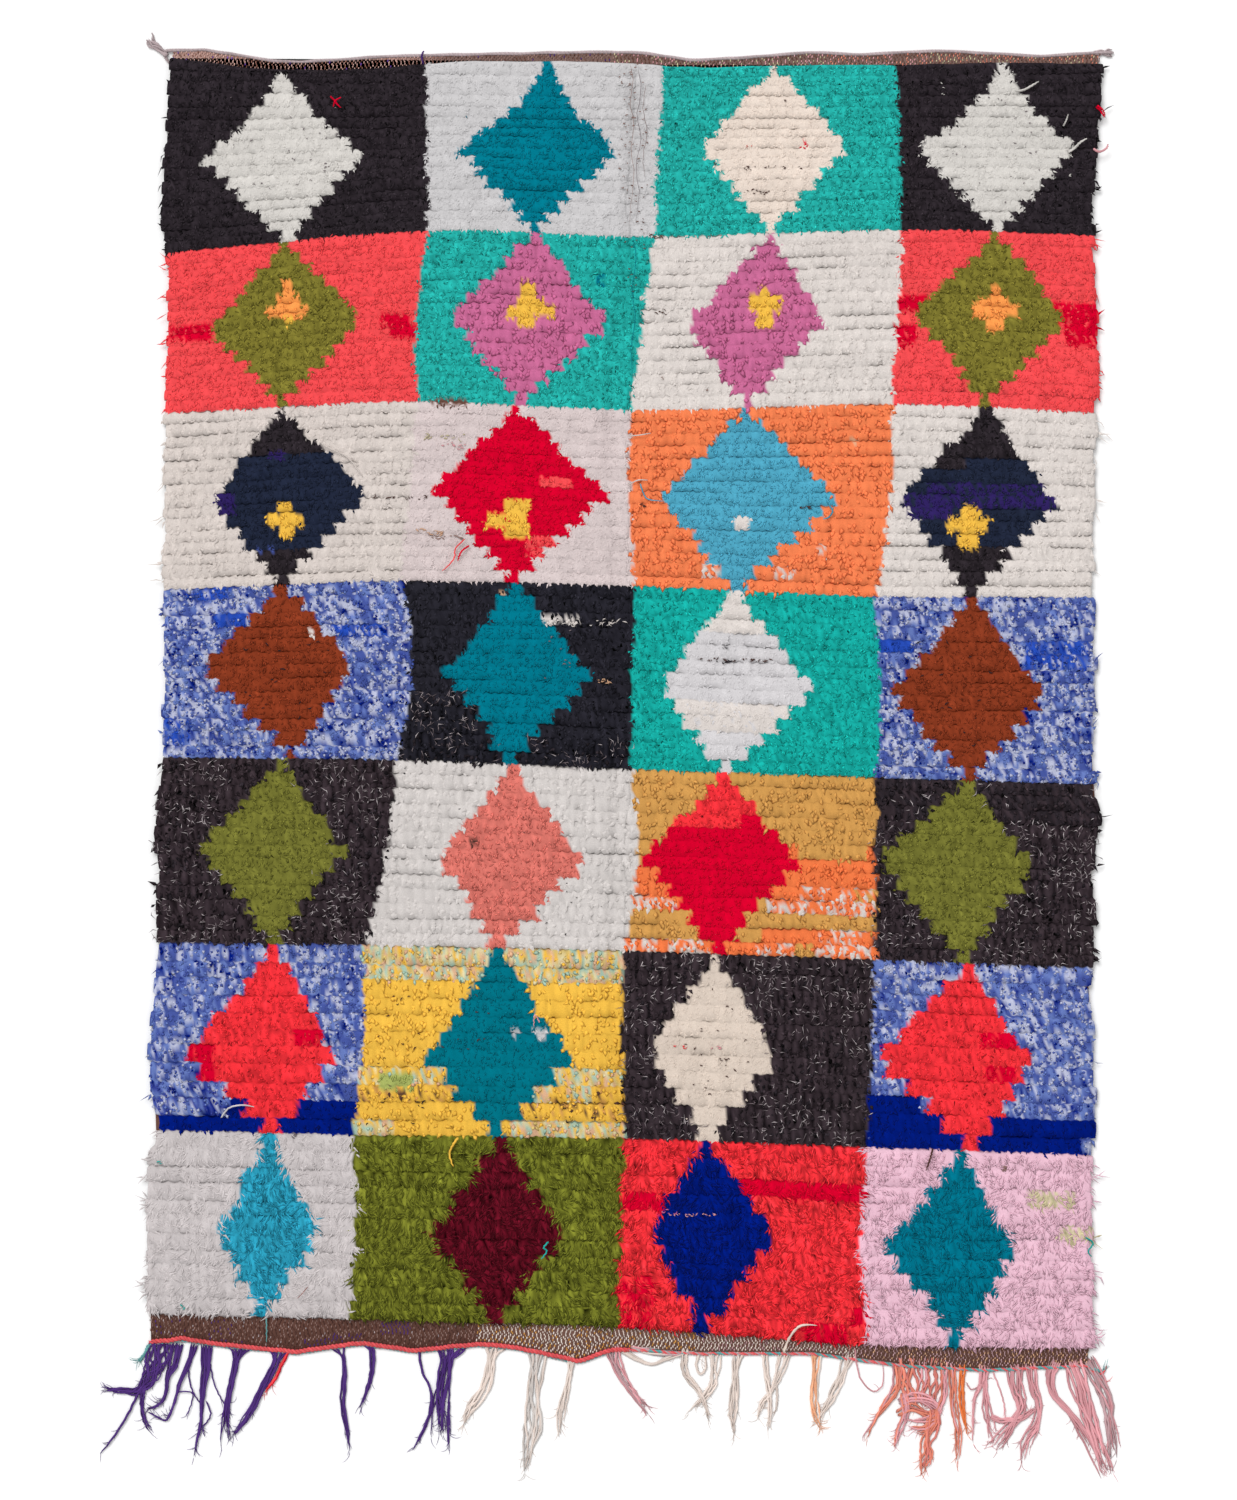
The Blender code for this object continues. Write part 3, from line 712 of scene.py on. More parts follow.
def surfaceAt(row, x, y, share, fibre):
    # the felted rolls' height: a groove, a rise to the crest and a groove again, rounded over
    # each tuft; lower at the rug's two sides and along the crease
    over = share > 1
    past = over & (row == rowCount - 1)
    row = np.where(over, np.minimum(row + 1, rowCount - 1), row)
    share = np.clip(np.where(over, share - 1, share), 0, 1)
    cell, _, rounded = tuftAt(row, x)
    crest = roll["crest"] + fibreValues("puff")[fibre] * (rounded - 0.5) + roll["luck"] * tuftLuck[row, cell]
    line = row + (share > 0.5)
    part = fibreValues("part")[fibre]
    depth = roll["dip"] * (0.3 + 0.9 * part) + roll["gap"] * partingAt(line, x) * part
    rise = np.interp(share, roll["steps"], roll["profile"])
    height = crest - depth * (1 - rise)
    fromSide = np.minimum(x - sideAt("leftSide", y), sideAt("rightSide", y) - x)
    height -= roll["rimDrop"] * np.exp(-np.maximum(fromSide, 0) / roll["rimWidth"])
    height = np.where(past, roll["footHeight"], height)
    height -= roll["headSink"] * ((row == 0) & ~over) * np.exp(-share / roll["sinkShare"])
    return height - roll["creaseDepth"] * np.exp(-(((x - creasePlaces[row]) / roll["creaseHalfWidth"]) ** 2))


# how knots step where two yarns meet, in metres: the fuzz of a line, a seam's step and the tooth
# that a fanning row makes, the same for a lozenge's flanks, half the width of a lozenge's tip, an
# odd end's step, half the height of a row and the height below which an odd end is free of rows
knotStep = {
    "fuzz": 0.0030,
    "seam": 0.003,
    "seamTooth": 0.0055,
    "flank": 0.0050,
    "flankTooth": 0.0105,
    "halfTip": 0.0065,
    "patch": 0.003,
    "halfRow": 0.0095,
    "freeBelow": 0.0075,
}


def dress(row, x, y, luck, along):
    # the yarn and the fibre of each place: its block, its lozenge, the odd ends; a row's end
    # leans out as its knots fan, so that lozenges and seams are toothed
    block, share = rowBlock[row], rowShare[row]
    column = np.zeros(len(x), int)
    lean = np.clip(along, 0, 1) - 0.40
    fuzz = knotStep["fuzz"] * (luck - 0.5)
    for seam in range(3):
        top, foot = rug["lineX"][block, seam + 1], rug["lineX"][block + 1, seam + 1]
        bow = rug["seamBow"][block, seam] * 4 * share * (1 - share)
        tooth = knotStep["seamTooth"] * stepLuck[(row + 7) % rowCount, seam] * lean
        step = knotStep["seam"] * stepLuck[row, seam]
        column += x > top + (foot - top) * share + bow + step + tooth + fuzz
    topTip, footTip, left, right, waist = lozenges[block, column].T
    top = (rug["lineY"][block, column] + rug["lineY"][block, column + 1]) / 2
    foot = (rug["lineY"][block + 1, column] + rug["lineY"][block + 1, column + 1]) / 2
    rowY = top + (foot - top) * share
    above = rowY > waist
    away = np.where(above, (rowY - waist) / (top - waist), (waist - rowY) / (waist - foot))
    away = np.clip(away / 0.94, 0, 1)
    for (one, across), power in pinched.items():
        own = (block == one) & (column == across) & above
        away[own] = 1 - (1 - away[own]) ** power
    tooth = knotStep["flankTooth"] * (0.45 + 0.55 * flankLuck[(row + 5) % rowCount, column]) * lean[:, None]
    step = knotStep["flank"] * flankLuck[row, column]
    tip, half = np.where(above, topTip, footTip), knotStep["halfTip"]
    start = left + (tip - half - left) * away + step[:, 0] - tooth[:, 0] + fuzz
    end = right + (tip + half - right) * away + step[:, 1] + tooth[:, 1] + fuzz
    inside = (x > start) & (x < end)
    chosen = blockDress[block, column]
    colour = np.where(inside, chosen[:, 2], chosen[:, 0])
    fibre = np.where(inside, chosen[:, 3], chosen[:, 1])
    middle = (lineAt(row, x) + lineAt(row + 1, x)) / 2
    for patch in patches:
        within = np.ones(len(x), bool)
        if patch["over"] != "all":
            within &= inside == (patch["over"] == "lozenge")
        if patch["block"]:
            within &= (block == patch["block"][0]) & (column == patch["block"][1])
        for *spot, part in patch["places"]:
            px, py, wide, tall = spotFromPhoto(*spot)
            free = tall < knotStep["freeBelow"] or patch["free"]
            down = np.abs(y - py) < tall if free else np.abs(middle - py) < max(tall, knotStep["halfRow"])
            hit = (np.abs(x - px) < wide + knotStep["patch"] * patchLuck[row]) & down & (luck < part) & within
            colour[hit] = yarn(patch["yarn"])
            if patch["fibre"]:
                fibre[hit] = fibreNames.index(patch["fibre"])
    return colour, fibre


# how mixed fibres change yarn, the soft heathers and the others: the width of a clump and the
# share of the locks that change by themselves; and how the pale hairs of melange crowd
mixForm = {
    "clump": (0.0075, 0.0058),
    "alone": (0.25, 0.35),
    "hairCrowd": (0.80, 1.9),
    "hairLimits": (0.06, 2.2),
    "hairSpacing": 0.024,
    "blackAbove": 0.72,
}


def mixYarns(colour, fibre, row, x, share, luck, felt=False):
    # a mixed fibre changes yarn from clump to clump, and some of its locks by themselves; the
    # felt under melange has none of its fine pale hairs
    soft = np.isin(fibre, [fibreNames.index("heather"), fibreNames.index("dimHeather")])
    clump = clumpAt(row, x, share, np.where(soft, *mixForm["clump"]), 5, 0.4)
    alone = np.where(soft, *mixForm["alone"])
    draw = np.where(luck < alone, luck / alone, clump)
    mixed = colour.copy()
    for name, parts in mixtures.items():
        own = (fibre == fibreNames.index(name)) & ~np.isin(colour, [yarn("royal"), yarn("cobalt")])
        if name == "melange":
            own &= not felt
            usual, more = mixForm["hairCrowd"]
            crowd = usual + more * wander(shortGaps, row, x, mixForm["hairSpacing"])
            crowd = np.clip(crowd, *mixForm["hairLimits"])
            draw = np.where(own, luck / crowd, draw)
        low = 0.0
        for part, size in parts:
            mixed[own & (draw >= low) & (draw < low + size)] = yarn(part)
            low += size
        if name == "melange":
            mixed[own & (clump > mixForm["blackAbove"]) & (mixed == colour)] = yarn("black")
    return mixed


def putMesh(name, points, faceSets, material, cornerMap, pointColours, smooth=True):
    # a mesh from whole arrays: faces in sets of one corner count, a map and a colour a point
    mesh = bpy.data.meshes.new(name)
    loops = np.concatenate([faces.ravel() for faces in faceSets])
    sizes = np.concatenate([np.full(len(faces), faces.shape[1]) for faces in faceSets])
    starts = np.concatenate([[0], np.cumsum(sizes)[:-1]])
    mesh.vertices.add(len(points))
    mesh.vertices.foreach_set("co", points.astype(np.float32).ravel())
    mesh.loops.add(len(loops))
    mesh.loops.foreach_set("vertex_index", loops.astype(np.int32))
    mesh.polygons.add(len(sizes))
    mesh.polygons.foreach_set("loop_start", starts.astype(np.int32))
    mesh.polygons.foreach_set("use_smooth", np.full(len(sizes), smooth))
    mesh.update(calc_edges=True)
    if cornerMap is not None:
        layer = mesh.uv_layers.new(name="OFBake")
        layer.data.foreach_set("uv", cornerMap.astype(np.float32).ravel())
    shade = mesh.color_attributes.new("yarnColour", "FLOAT_COLOR", "POINT")
    filled = np.concatenate([pointColours, np.ones((len(points), 1))], axis=1)
    shade.data.foreach_set("color", filled.astype(np.float32).ravel())
    mesh.materials.append(material)
    piece = bpy.data.objects.new(name, mesh)
    bpy.context.scene.collection.objects.link(piece)
    return piece


def strandPiece(name, paths, halfWidth, halfHeight, sides, colours, material, smooth=True):
    # closed spindles: each path's inner points carry a ring of so many sides, wide across the
    # path and level with the floor, and its two ends close to a point
    count, stops = paths.shape[:2]
    inner = stops - 2
    along = np.gradient(paths, axis=1)[:, 1:-1]
    along /= np.linalg.norm(along, axis=2, keepdims=True) + 1e-12
    across = np.stack([-along[..., 1], along[..., 0], np.zeros(along.shape[:2])], axis=-1)
    across /= np.linalg.norm(across, axis=2, keepdims=True) + 1e-12
    up = np.cross(along, across)
    turn = math.pi / 2 + 2 * math.pi * np.arange(sides) / sides
    wide = (halfWidth[..., None] * np.cos(turn))[..., None] * across[:, :, None]
    tall = (halfHeight[..., None] * np.sin(turn))[..., None] * up[:, :, None]
    rings = paths[:, 1:-1, None] + wide + tall
    points = np.concatenate([paths[:, :1], rings.reshape(count, -1, 3), paths[:, -1:]], axis=1)
    size = points.shape[1]
    base = (np.arange(count) * size)[:, None]
    k = np.arange(sides)
    after = (k + 1) % sides
    root = np.stack([np.zeros(sides, int), 1 + after, 1 + k], axis=-1)
    last = 1 + (inner - 1) * sides
    tip = np.stack([last + k, last + after, np.full(sides, size - 1)], axis=-1)
    ring = 1 + np.arange(inner - 1)[:, None] * sides
    sheet = np.stack([ring + k, ring + after, ring + sides + after, ring + sides + k], axis=-1)
    capFaces = np.concatenate([root, tip])
    sheet = sheet.reshape(-1, 4)
    grid = max(1, math.ceil(math.sqrt(count)))
    cell = np.stack([np.arange(count) % grid, np.arange(count) // grid], axis=-1)[:, None]
    step = 1 / (stops - 1)
    low, middle, high = k / sides, (k + 0.5) / sides, (k + 1) / sides
    rootMap = np.stack([np.stack([middle, high, low], axis=-1), [[0, step, step]] * sides], axis=-1)
    capTop = [[1 - step, 1 - step, 1]] * sides
    tipMap = np.stack([np.stack([low, high, middle], axis=-1), capTop], axis=-1)
    low = ((np.arange(inner - 1) + 1) * step)[:, None] + np.zeros(sides)
    left = np.zeros((inner - 1, 1)) + k / sides
    right = left + 1 / sides
    mapX = np.stack([left, right, right, left], axis=-1)
    mapY = np.stack([low, low, low + step, low + step], axis=-1)
    sheetMap = np.stack([mapX, mapY], axis=-1).reshape(-1, 4, 2)
    capMap = np.concatenate([rootMap, tipMap])
    capCorners = (cell[:, None] + 0.06 + 0.88 * capMap) / grid
    sheetCorners = (cell[:, None] + 0.06 + 0.88 * sheetMap) / grid
    cornerMap = np.concatenate([capCorners.reshape(-1, 2), sheetCorners.reshape(-1, 2)])
    caps = (base[:, None] + capFaces).reshape(-1, 3)
    quads = (base[:, None] + sheet).reshape(-1, 4)
    ringColours = np.repeat(colours[:, 1:-1], sides, axis=1)
    pointColours = np.concatenate([colours[:, :1], ringColours, colours[:, -1:]], axis=1)
    faceSets = [caps, quads] if len(quads) else [caps]
    pointColours = np.clip(pointColours.reshape(-1, 3), 0, 1)
    return putMesh(name, points.reshape(-1, 3), faceSets, material, cornerMap, pointColours, smooth)


def addNode(tree, kind, values=(), operation=None):
    node = tree.nodes.new(kind)
    if operation:
        node.operation = operation
    for name, value in values:
        node.inputs[name].default_value = value
    return node


def grainGroup():
    # fine fibres: stretched noise that darkens the colour a little and raises the surface
    group = bpy.data.node_groups.new("fibreGrain", "ShaderNodeTree")
    side = group.interface
    side.new_socket(name="Colour", in_out="INPUT", socket_type="NodeSocketColor")
    for name, value in (("Scale", 900.0), ("Depth", 0.3), ("Roughness", 0.9)):
        side.new_socket(name=name, in_out="INPUT", socket_type="NodeSocketFloat").default_value = value
    for name, kind in (("Colour", "Color"), ("Roughness", "Float"), ("Height", "Float")):
        side.new_socket(name=name, in_out="OUTPUT", socket_type="NodeSocket" + kind)
    given = addNode(group, "NodeGroupInput")
    out = addNode(group, "NodeGroupOutput")
    place = addNode(group, "ShaderNodeTexCoord")
    noise = addNode(group, "ShaderNodeTexNoise", (("Detail", 3.0), ("Roughness", 0.6)))
    limits = ("From Min", 0.3), ("From Max", 0.7), ("To Max", 1.08)
    spread = addNode(group, "ShaderNodeMapRange", limits)
    dark = addNode(group, "ShaderNodeMath", ((0, 1.0),), "SUBTRACT")
    tint = addNode(group, "ShaderNodeVectorMath", (), "SCALE")
    rough = addNode(group, "ShaderNodeMath", ((1, 0.12),), "MULTIPLY_ADD")
    for source, target in (
        (place.outputs["Object"], noise.inputs["Vector"]),
        (given.outputs["Scale"], noise.inputs["Scale"]),
        (noise.outputs["Fac"], spread.inputs["Value"]),
        (given.outputs["Depth"], dark.inputs[1]),
        (dark.outputs[0], spread.inputs["To Min"]),
        (given.outputs["Colour"], tint.inputs[0]),
        (spread.outputs["Result"], tint.inputs["Scale"]),
        (tint.outputs[0], out.inputs["Colour"]),
        (noise.outputs["Fac"], rough.inputs[0]),
        (given.outputs["Roughness"], rough.inputs[2]),
        (rough.outputs[0], out.inputs["Roughness"]),
        (noise.outputs["Fac"], out.inputs["Height"]),
    ):
        group.links.new(source, target)
    return group


grain = grainGroup()


def yarnMaterial(name, scale, depth, roughness, bump, sheen):
    material = bpy.data.materials.new(name)
    material.use_nodes = True
    tree = material.node_tree
    shader = tree.nodes["Principled BSDF"]
    for key, value in (("Sheen Weight", sheen), ("Sheen Roughness", 0.5), ("Specular IOR Level", 0.02)):
        shader.inputs[key].default_value = value
    shade = addNode(tree, "ShaderNodeVertexColor")
    shade.layer_name = "yarnColour"
    group = addNode(tree, "ShaderNodeGroup")
    group.node_tree = grain
    for key, value in (("Scale", scale), ("Depth", depth), ("Roughness", roughness)):
        group.inputs[key].default_value = value
    rise = addNode(tree, "ShaderNodeBump", (("Strength", bump), ("Distance", 0.0006)))
    for source, target in (
        (shade.outputs["Color"], group.inputs["Colour"]),
        (group.outputs["Colour"], shader.inputs["Base Color"]),
        (group.outputs["Roughness"], shader.inputs["Roughness"]),
        (group.outputs["Height"], rise.inputs["Height"]),
        (rise.outputs["Normal"], shader.inputs["Normal"]),
    ):
        tree.links.new(source, target)
    return material


# the yarns' looks: the grain's scale and depth, the roughness, the grain's relief and the sheen
finishes = {
    "felt": yarnMaterial("feltedPile", 620.0, 0.14, 0.90, 0.4, 0.01),
    "fleece": yarnMaterial("fleeceWool", 900.0, 0.12, 0.90, 0.3, 0.01),
    "rag": yarnMaterial("ragCotton", 500.0, 0.08, 0.88, 0.3, 0.01),
    "heather": yarnMaterial("heatherWool", 900.0, 0.14, 0.90, 0.4, 0.01),
    "shag": yarnMaterial("shagWool", 1100.0, 0.16, 0.88, 0.5, 0.01),
    "kilim": yarnMaterial("flatWeaveWool", 800.0, 0.30, 0.90, 0.6, 0.01),
    "cord": yarnMaterial("twistedCord", 1000.0, 0.20, 0.90, 0.5, 0.02),
    "fringe": yarnMaterial("warpYarn", 1200.0, 0.18, 0.88, 0.5, 0.02),
}

# what of the pile goes into one piece: yarns of a kind, with the finish they share
pilePieces = {
    "pile_black": ("black blueBlack navy purpleNavy brown earth taupe", "fleece"),
    "pile_melange": ("charcoal ashGrey paleGrey", "heather"),
    "pile_white": ("silver coolWhite warmWhite pinkWhite cream ecru", "fleece"),
    "pile_chalk": ("mistWhite chalk lilacWhite shagWhite khaki", "rag"),
    "pile_red": ("coral redCoral crimson salmon burgundy rust rose", "fleece"),
    "pile_green": ("jade seaJade olive leaf mint paleOlive moss", "fleece"),
    "pile_teal": ("petrol darkPetrol teal deepTeal sky turquoise", "fleece"),
    "pile_heather": ("blue deepBlue paleBlue heatherWhite royal cobalt", "heather"),
    "pile_rag": ("orange deepOrange lightOrange ochre yellow paleYellow peach butter", "rag"),
    "pile_pink": ("orchid pink", "shag"),
}

# a closed bed of felted pile, each row one puffy roll, in a left and a right half. Its colour
# holds painted shade: darker in the grooves between rows and darkest where the rows part; where
# two shades stand together the first is for dyed yarns and the second for pale ones
bed = {
    "columns": 312,
    "floor": 0.0037,
    "lump": 0.0004,
    "endHeight": 0.0062,
    "bulge": 0.0040,
    "shoulder": 0.0034,
    "grooveShade": (0.82, 0.90),
    "crestShade": (0.93, 0.99),
    "partShade": 0.29,
    # how strongly the tufts' edges are painted darker: painted shade between tufts
    "outline": 1.3,
    "tone": 0.6,
    "topShare": 0.97,
    "seed": 5,
}
# how far each row's two ends stray, in metres
rowEnds = (0.0034, 0.0046)


def gridSlab(name, top, bottomZ, material, topColours, bottomColour, topShare):
    # a closed slab: a grid of points above, a wall round it, and one flat cross face a row below
    rows, columns = top.shape[:2]
    index = np.arange(rows * columns).reshape(rows, columns)
    ring = np.concatenate([index[0, :-1], index[:-1, -1], index[-1, :0:-1], index[:0:-1, 0]])
    below = rows * columns + np.arange(len(ring))
    points = top.reshape(-1, 3)
    under = points[ring].copy()
    under[:, 2] = bottomZ
    points = np.concatenate([points, under])
    a, b, c, d = index[:-1, :-1], index[:-1, 1:], index[1:, 1:], index[1:, :-1]
    upper = np.stack([a, d, c, b], axis=-1).reshape(-1, 4)
    wall = np.stack([ring, np.roll(ring, -1), np.roll(below, -1), below], axis=-1)
    headRow, rightSide = below[:columns], below[columns - 1 : columns + rows - 1]
    footRow = below[columns + rows - 2 : 2 * columns + rows - 2]
    leftSide = np.concatenate([below[:1], below[: 2 * columns + rows - 4 : -1]])
    cross = np.stack([leftSide[1:-2], rightSide[1:-2], rightSide[2:-1], leftSide[2:-1]], axis=-1)
    headFace = np.concatenate([headRow, [rightSide[1], leftSide[1]]])[None]
    footFace = np.concatenate([[leftSide[-2], rightSide[-2]], footRow])[None]
    flat = np.stack(np.meshgrid(np.linspace(0, 1, columns), np.linspace(1, 0, rows)), axis=-1).reshape(-1, 2)
    flat = np.concatenate([flat, flat[ring]])
    place = np.linspace(0, 1, len(ring) + 1)
    wallMap = np.stack([place[:-1], place[1:], place[1:], place[:-1]], axis=-1)
    wallMap = np.stack([np.zeros(wallMap.shape) + [0, 0, 1, 1], wallMap], axis=-1)
    topWidth = 0.96 * topShare
    mapped = [
        flat[upper] * [topWidth, 0.98] + 0.01,
        wallMap * [0.012, 0.98] + [topWidth + 0.014, 0.01],
        *(
            flat[faces] * [0.96 - topWidth, 0.98] + [topWidth + 0.030, 0.01]
            for faces in (cross, headFace, footFace)
        ),
    ]
    cornerMap = np.concatenate([part.reshape(-1, 2) for part in mapped])
    # where no colour is given, the walls and the underside take the top's colour darker: painted shade
    if bottomColour is None:
        bottomColour = topColours.reshape(-1, 3)[ring] * 0.6
    colours = np.concatenate([topColours.reshape(-1, 3), np.zeros((len(ring), 3)) + bottomColour])
    return putMesh(name, points, [upper, wall, cross, headFace, footFace], material, cornerMap, colours)


made = []


def addPiece(piece, replaced=None):
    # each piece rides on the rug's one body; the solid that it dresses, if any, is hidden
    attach(piece, "root")
    if replaced:
        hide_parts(replaced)
    made.append(piece)
    return piece


def makeBed():
    # every row at its groove, its two shoulders and its crest; painted shade darkens a groove,
    # most where the rows part
    rng = np.random.default_rng(bed["seed"])
    steps = roll["steps"][:-1]
    row = np.append(np.repeat(np.arange(rowCount), len(steps)), rowCount - 1)
    share = np.append(np.tile(steps, rowCount), 1.0)
    even = np.linspace(0, 1, bed["columns"] + 1)
    roughY = lineAt(row, 0.0 * row) * (1 - share) + lineAt(row + 1, 0.0 * row) * share
    bulge = bed["bulge"] - bed["shoulder"] * np.interp(share, roll["steps"], roll["profile"])
    left = sideAt("leftSide", roughY) + bulge + rowEnds[0] * sideLuck[row, 0]
    right = sideAt("rightSide", roughY) - bulge + rowEnds[1] * sideLuck[row, 1]
    x = left[:, None] + (right - left)[:, None] * even
    rows = np.broadcast_to(row[:, None], x.shape).ravel()
    shares = np.broadcast_to(share[:, None], x.shape).ravel()
    x = x.ravel()
    y = yOn(rows, x, shares)
    luck = rng.random(len(x))
    colour, fibre = dress(rows, x, y, luck, shares)
    mixed = mixYarns(colour, fibre, rows, x, shares, luck, felt=True)
    part = fibreValues("part")[fibre]
    z = surfaceAt(rows, x, y, shares, fibre) + rng.uniform(-1, 1, len(x)) * bed["lump"]
    ends = np.minimum(np.abs(y - lineAt(0 * rows, x)), np.abs(y - lineAt(0 * rows + rowCount, x)))
    z = np.where(ends < 0.001, bed["endHeight"], z)
    line = rows + (shares > 0.5)
    depth = 1 - np.interp(shares, roll["steps"], roll["profile"])
    # painted shade: the colour darkens from the crest towards the groove, and most where the rows part
    rootShade = np.where(pale[mixed], bed["grooveShade"][1], bed["grooveShade"][0])
    groove = rootShade + (bed["partShade"] - rootShade) * partingAt(line, x) * part
    cell, _, rounded = tuftAt(rows, x)
    tone = (1 + cast["byTuft"] * tuftLuck[rows, cell]) * castAt(rows, x)
    # painted shade at each tuft's edges
    tone *= 1 - bed["outline"] * fibreValues("outline")[fibre] * (1 - rounded) ** 1.5
    tone *= 1 + fibreValues("tone")[fibre] * lively[mixed] * rng.normal(0, bed["tone"], len(x))
    crestShade = np.where(pale[mixed], bed["crestShade"][1], bed["crestShade"][0])
    shade = (crestShade * (1 - depth) + groove * depth) * tone
    colours = yarnColours[mixed] * shade[:, None]
    size = (len(row), bed["columns"] + 1)
    points = np.stack([x, y, z], axis=-1).reshape(*size, 3)
    colours = colours.reshape(*size, 3)
    middle = bed["columns"] // 2
    for name, half in (("pile_bed_left", slice(0, middle + 1)), ("pile_bed_right", slice(middle, None))):
        shown = np.clip(colours[:, half], 0, 1)
        slab = gridSlab(name, points[:, half], bed["floor"], finishes["felt"], shown, None, bed["topShare"])
        addPiece(slab)
    print("rug: pile bed made")


makeBed()

# how the pile's locks lie, in metres, in radians or as shares: how many are laid out beside the
# densest fibre's number, where their roots lie, how they vary, drift, fan over a tuft and swirl
# along it, how they stray in the crease and turn outward at the sides, how often and how far they
# stick out there, where they part, and how loose they are. Where a fan, a swirl or the like has
# two values, the first is for smooth pile and the second for shag
pileForm = {
    "spare": 1.42,
    "rimInset": 0.0022,
    "lastRoot": 0.86,
    "vary": (0.70, 1.25),
    "stray": 0.8,
    "drift": 0.35,
    "driftSpacing": 0.06,
    "fan": (0.9, 0.2),
    "swirl": (0.0, 1.35),
    "swirlSpacing": 0.017,
    "creaseStray": 0.9,
    # painted shade on locks in the long crease, at random
    "creaseShade": 0.22,
    "sideTurn": 0.9,
    "sideFade": 0.004,
    "wispShare": (0.22, 0.09),
    "wispLength": (2.6, 1.7),
    "edgeLength": (1.9, 1.35),
    "partsAt": (0.25, 0.36),
    "paleFlat": (0.62, 0.75),
    "rise": 0.0005,
    "bury": 0.0010,
    "loose": 0.0008,
    "paleLoose": 0.0003,
    "rim": 0.006,
    "creaseHalf": 0.012,
    "hairLength": (0.008, 0.017),
    "hairHalf": 0.00082,
    "hairRise": 0.0012,
    "wispHalf": 0.00095,
    "clump": 0.0070,
    "shagTones": (0.66, 1.40),
    "seed": 23,
}
# painted shade at a lock's root and painted light at its tip, as factors at its root, middle and
# tip: on smooth pile dyed and pale, on shag dyed and pale, and on shag of a vivid yarn
lockShadeAndLight = np.array(
    [[0.80, 1.0, 1.05], [0.97, 1.0, 1.0], [0.46, 0.94, 1.13], [0.89, 1.0, 1.03], [0.82, 1.0, 1.08]]
)


def byPile(key, shaggy):
    return np.where(shaggy, pileForm[key][1], pileForm[key][0])


def rootLocks(rng):
    # roots at even steps along each row, each set off by chance, kept as densely as the fibre is
    most = int(fibreValues("locks").max() * pileForm["spare"])
    row = np.repeat(np.arange(rowCount), most)
    across = (np.tile(np.arange(most), rowCount) + rng.random(len(row))) / most
    middleY = lineAt(row, 0.0 * row)
    left = sideAt("leftSide", middleY) + pileForm["rimInset"] + rowEnds[0] * sideLuck[row, 0]
    right = sideAt("rightSide", middleY) - pileForm["rimInset"] + rowEnds[1] * sideLuck[row, 1]
    x = left + (right - left) * across
    share = rng.uniform(0.0, pileForm["lastRoot"], len(row))
    y = yOn(row, x, share)
    luck = rng.random(len(row))
    colour, fibre = dress(row, x, y, luck, share)
    keep = rng.random(len(row)) < fibreValues("locks")[fibre] / fibreValues("locks").max()
    row, x, share, y, luck, colour, fibre = (v[keep] for v in (row, x, share, y, luck, colour, fibre))
    mixed = mixYarns(colour, fibre, row, x, share, luck)
    lock = SimpleNamespace(row=row, x=x, y=y, share=share, fibre=fibre, mixed=mixed, count=len(row))
    lock.cell, lock.centred, lock.rounded = tuftAt(row, x)
    lock.shaggy = fibre == fibreNames.index("shag")
    lock.hairs = (fibre == fibreNames.index("melange")) & np.isin(mixed, [yarn("ashGrey"), yarn("paleGrey")])
    return lock


def aimLocks(lock, rng):
    # a lock heads for the foot, give or take its fibre's stray, fans out from its tuft's middle
    # and swirls with its neighbours; at the sides it may stick out, and it stops short where the
    # rows part or the pile ends
    row, x, y, share, fibre = lock.row, lock.x, lock.y, lock.share, lock.fibre
    count, shaggy, hairs = lock.count, lock.shaggy, lock.hairs
    length = fibreValues("length")[fibre] * rng.uniform(*pileForm["vary"], count)
    heading = -math.pi / 2 + fibreValues("stray")[fibre] * rng.normal(0, pileForm["stray"], count)
    drift = pileForm["drift"] * wander(tuftWander, row, x, pileForm["driftSpacing"])
    heading += byPile("fan", shaggy) * lock.centred + drift
    half = np.clip((share * 2).astype(int), 0, 1)
    swirl = wander(shortGaps, (row + 13 * half) % rowCount, x, pileForm["swirlSpacing"])
    heading += byPile("swirl", shaggy) * swirl
    heading = np.where(hairs, rng.uniform(-math.pi, math.pi, count), heading)
    length = np.where(hairs, rng.uniform(*pileForm["hairLength"], count), length)
    lock.crease = np.exp(-(((x - creasePlaces[row]) / pileForm["creaseHalf"]) ** 2)) * ~shaggy
    heading += lock.crease * rng.normal(0, pileForm["creaseStray"], count)
    fromLeft, fromRight = x - sideAt("leftSide", y), sideAt("rightSide", y) - x
    outward = np.exp(-fromRight / pileForm["sideFade"]) - np.exp(-fromLeft / pileForm["sideFade"])
    heading += pileForm["sideTurn"] * outward * rng.uniform(0.3, 1.7, count)
    edge = (np.minimum(fromLeft, fromRight) < pileForm["rim"]) & ~hairs
    lock.wisps = edge & (rng.random(count) < byPile("wispShare", shaggy))
    atEdge = rng.uniform(0.8, byPile("edgeLength", shaggy), count)
    length = np.where(edge, length * np.where(lock.wisps, byPile("wispLength", shaggy), atEdge), length)
    fall = -np.sin(heading) * length / (lineAt(row, x) - lineAt(row + 1, x))
    parted = partingAt(row + 1, x) * fibreValues("part")[fibre] > byPile("partsAt", shaggy)
    pastFoot = 1.08 + 0.5 * rng.random(count) ** 2 - share
    room = np.where(parted, 0.98 - share, np.where(row == rowCount - 1, pastFoot, 9.0))
    shorten = np.clip(np.maximum(room, 0.25) / np.maximum(fall, 0.01), 0, 1)
    lock.heading, lock.length, lock.fall = heading, length * shorten, fall * shorten


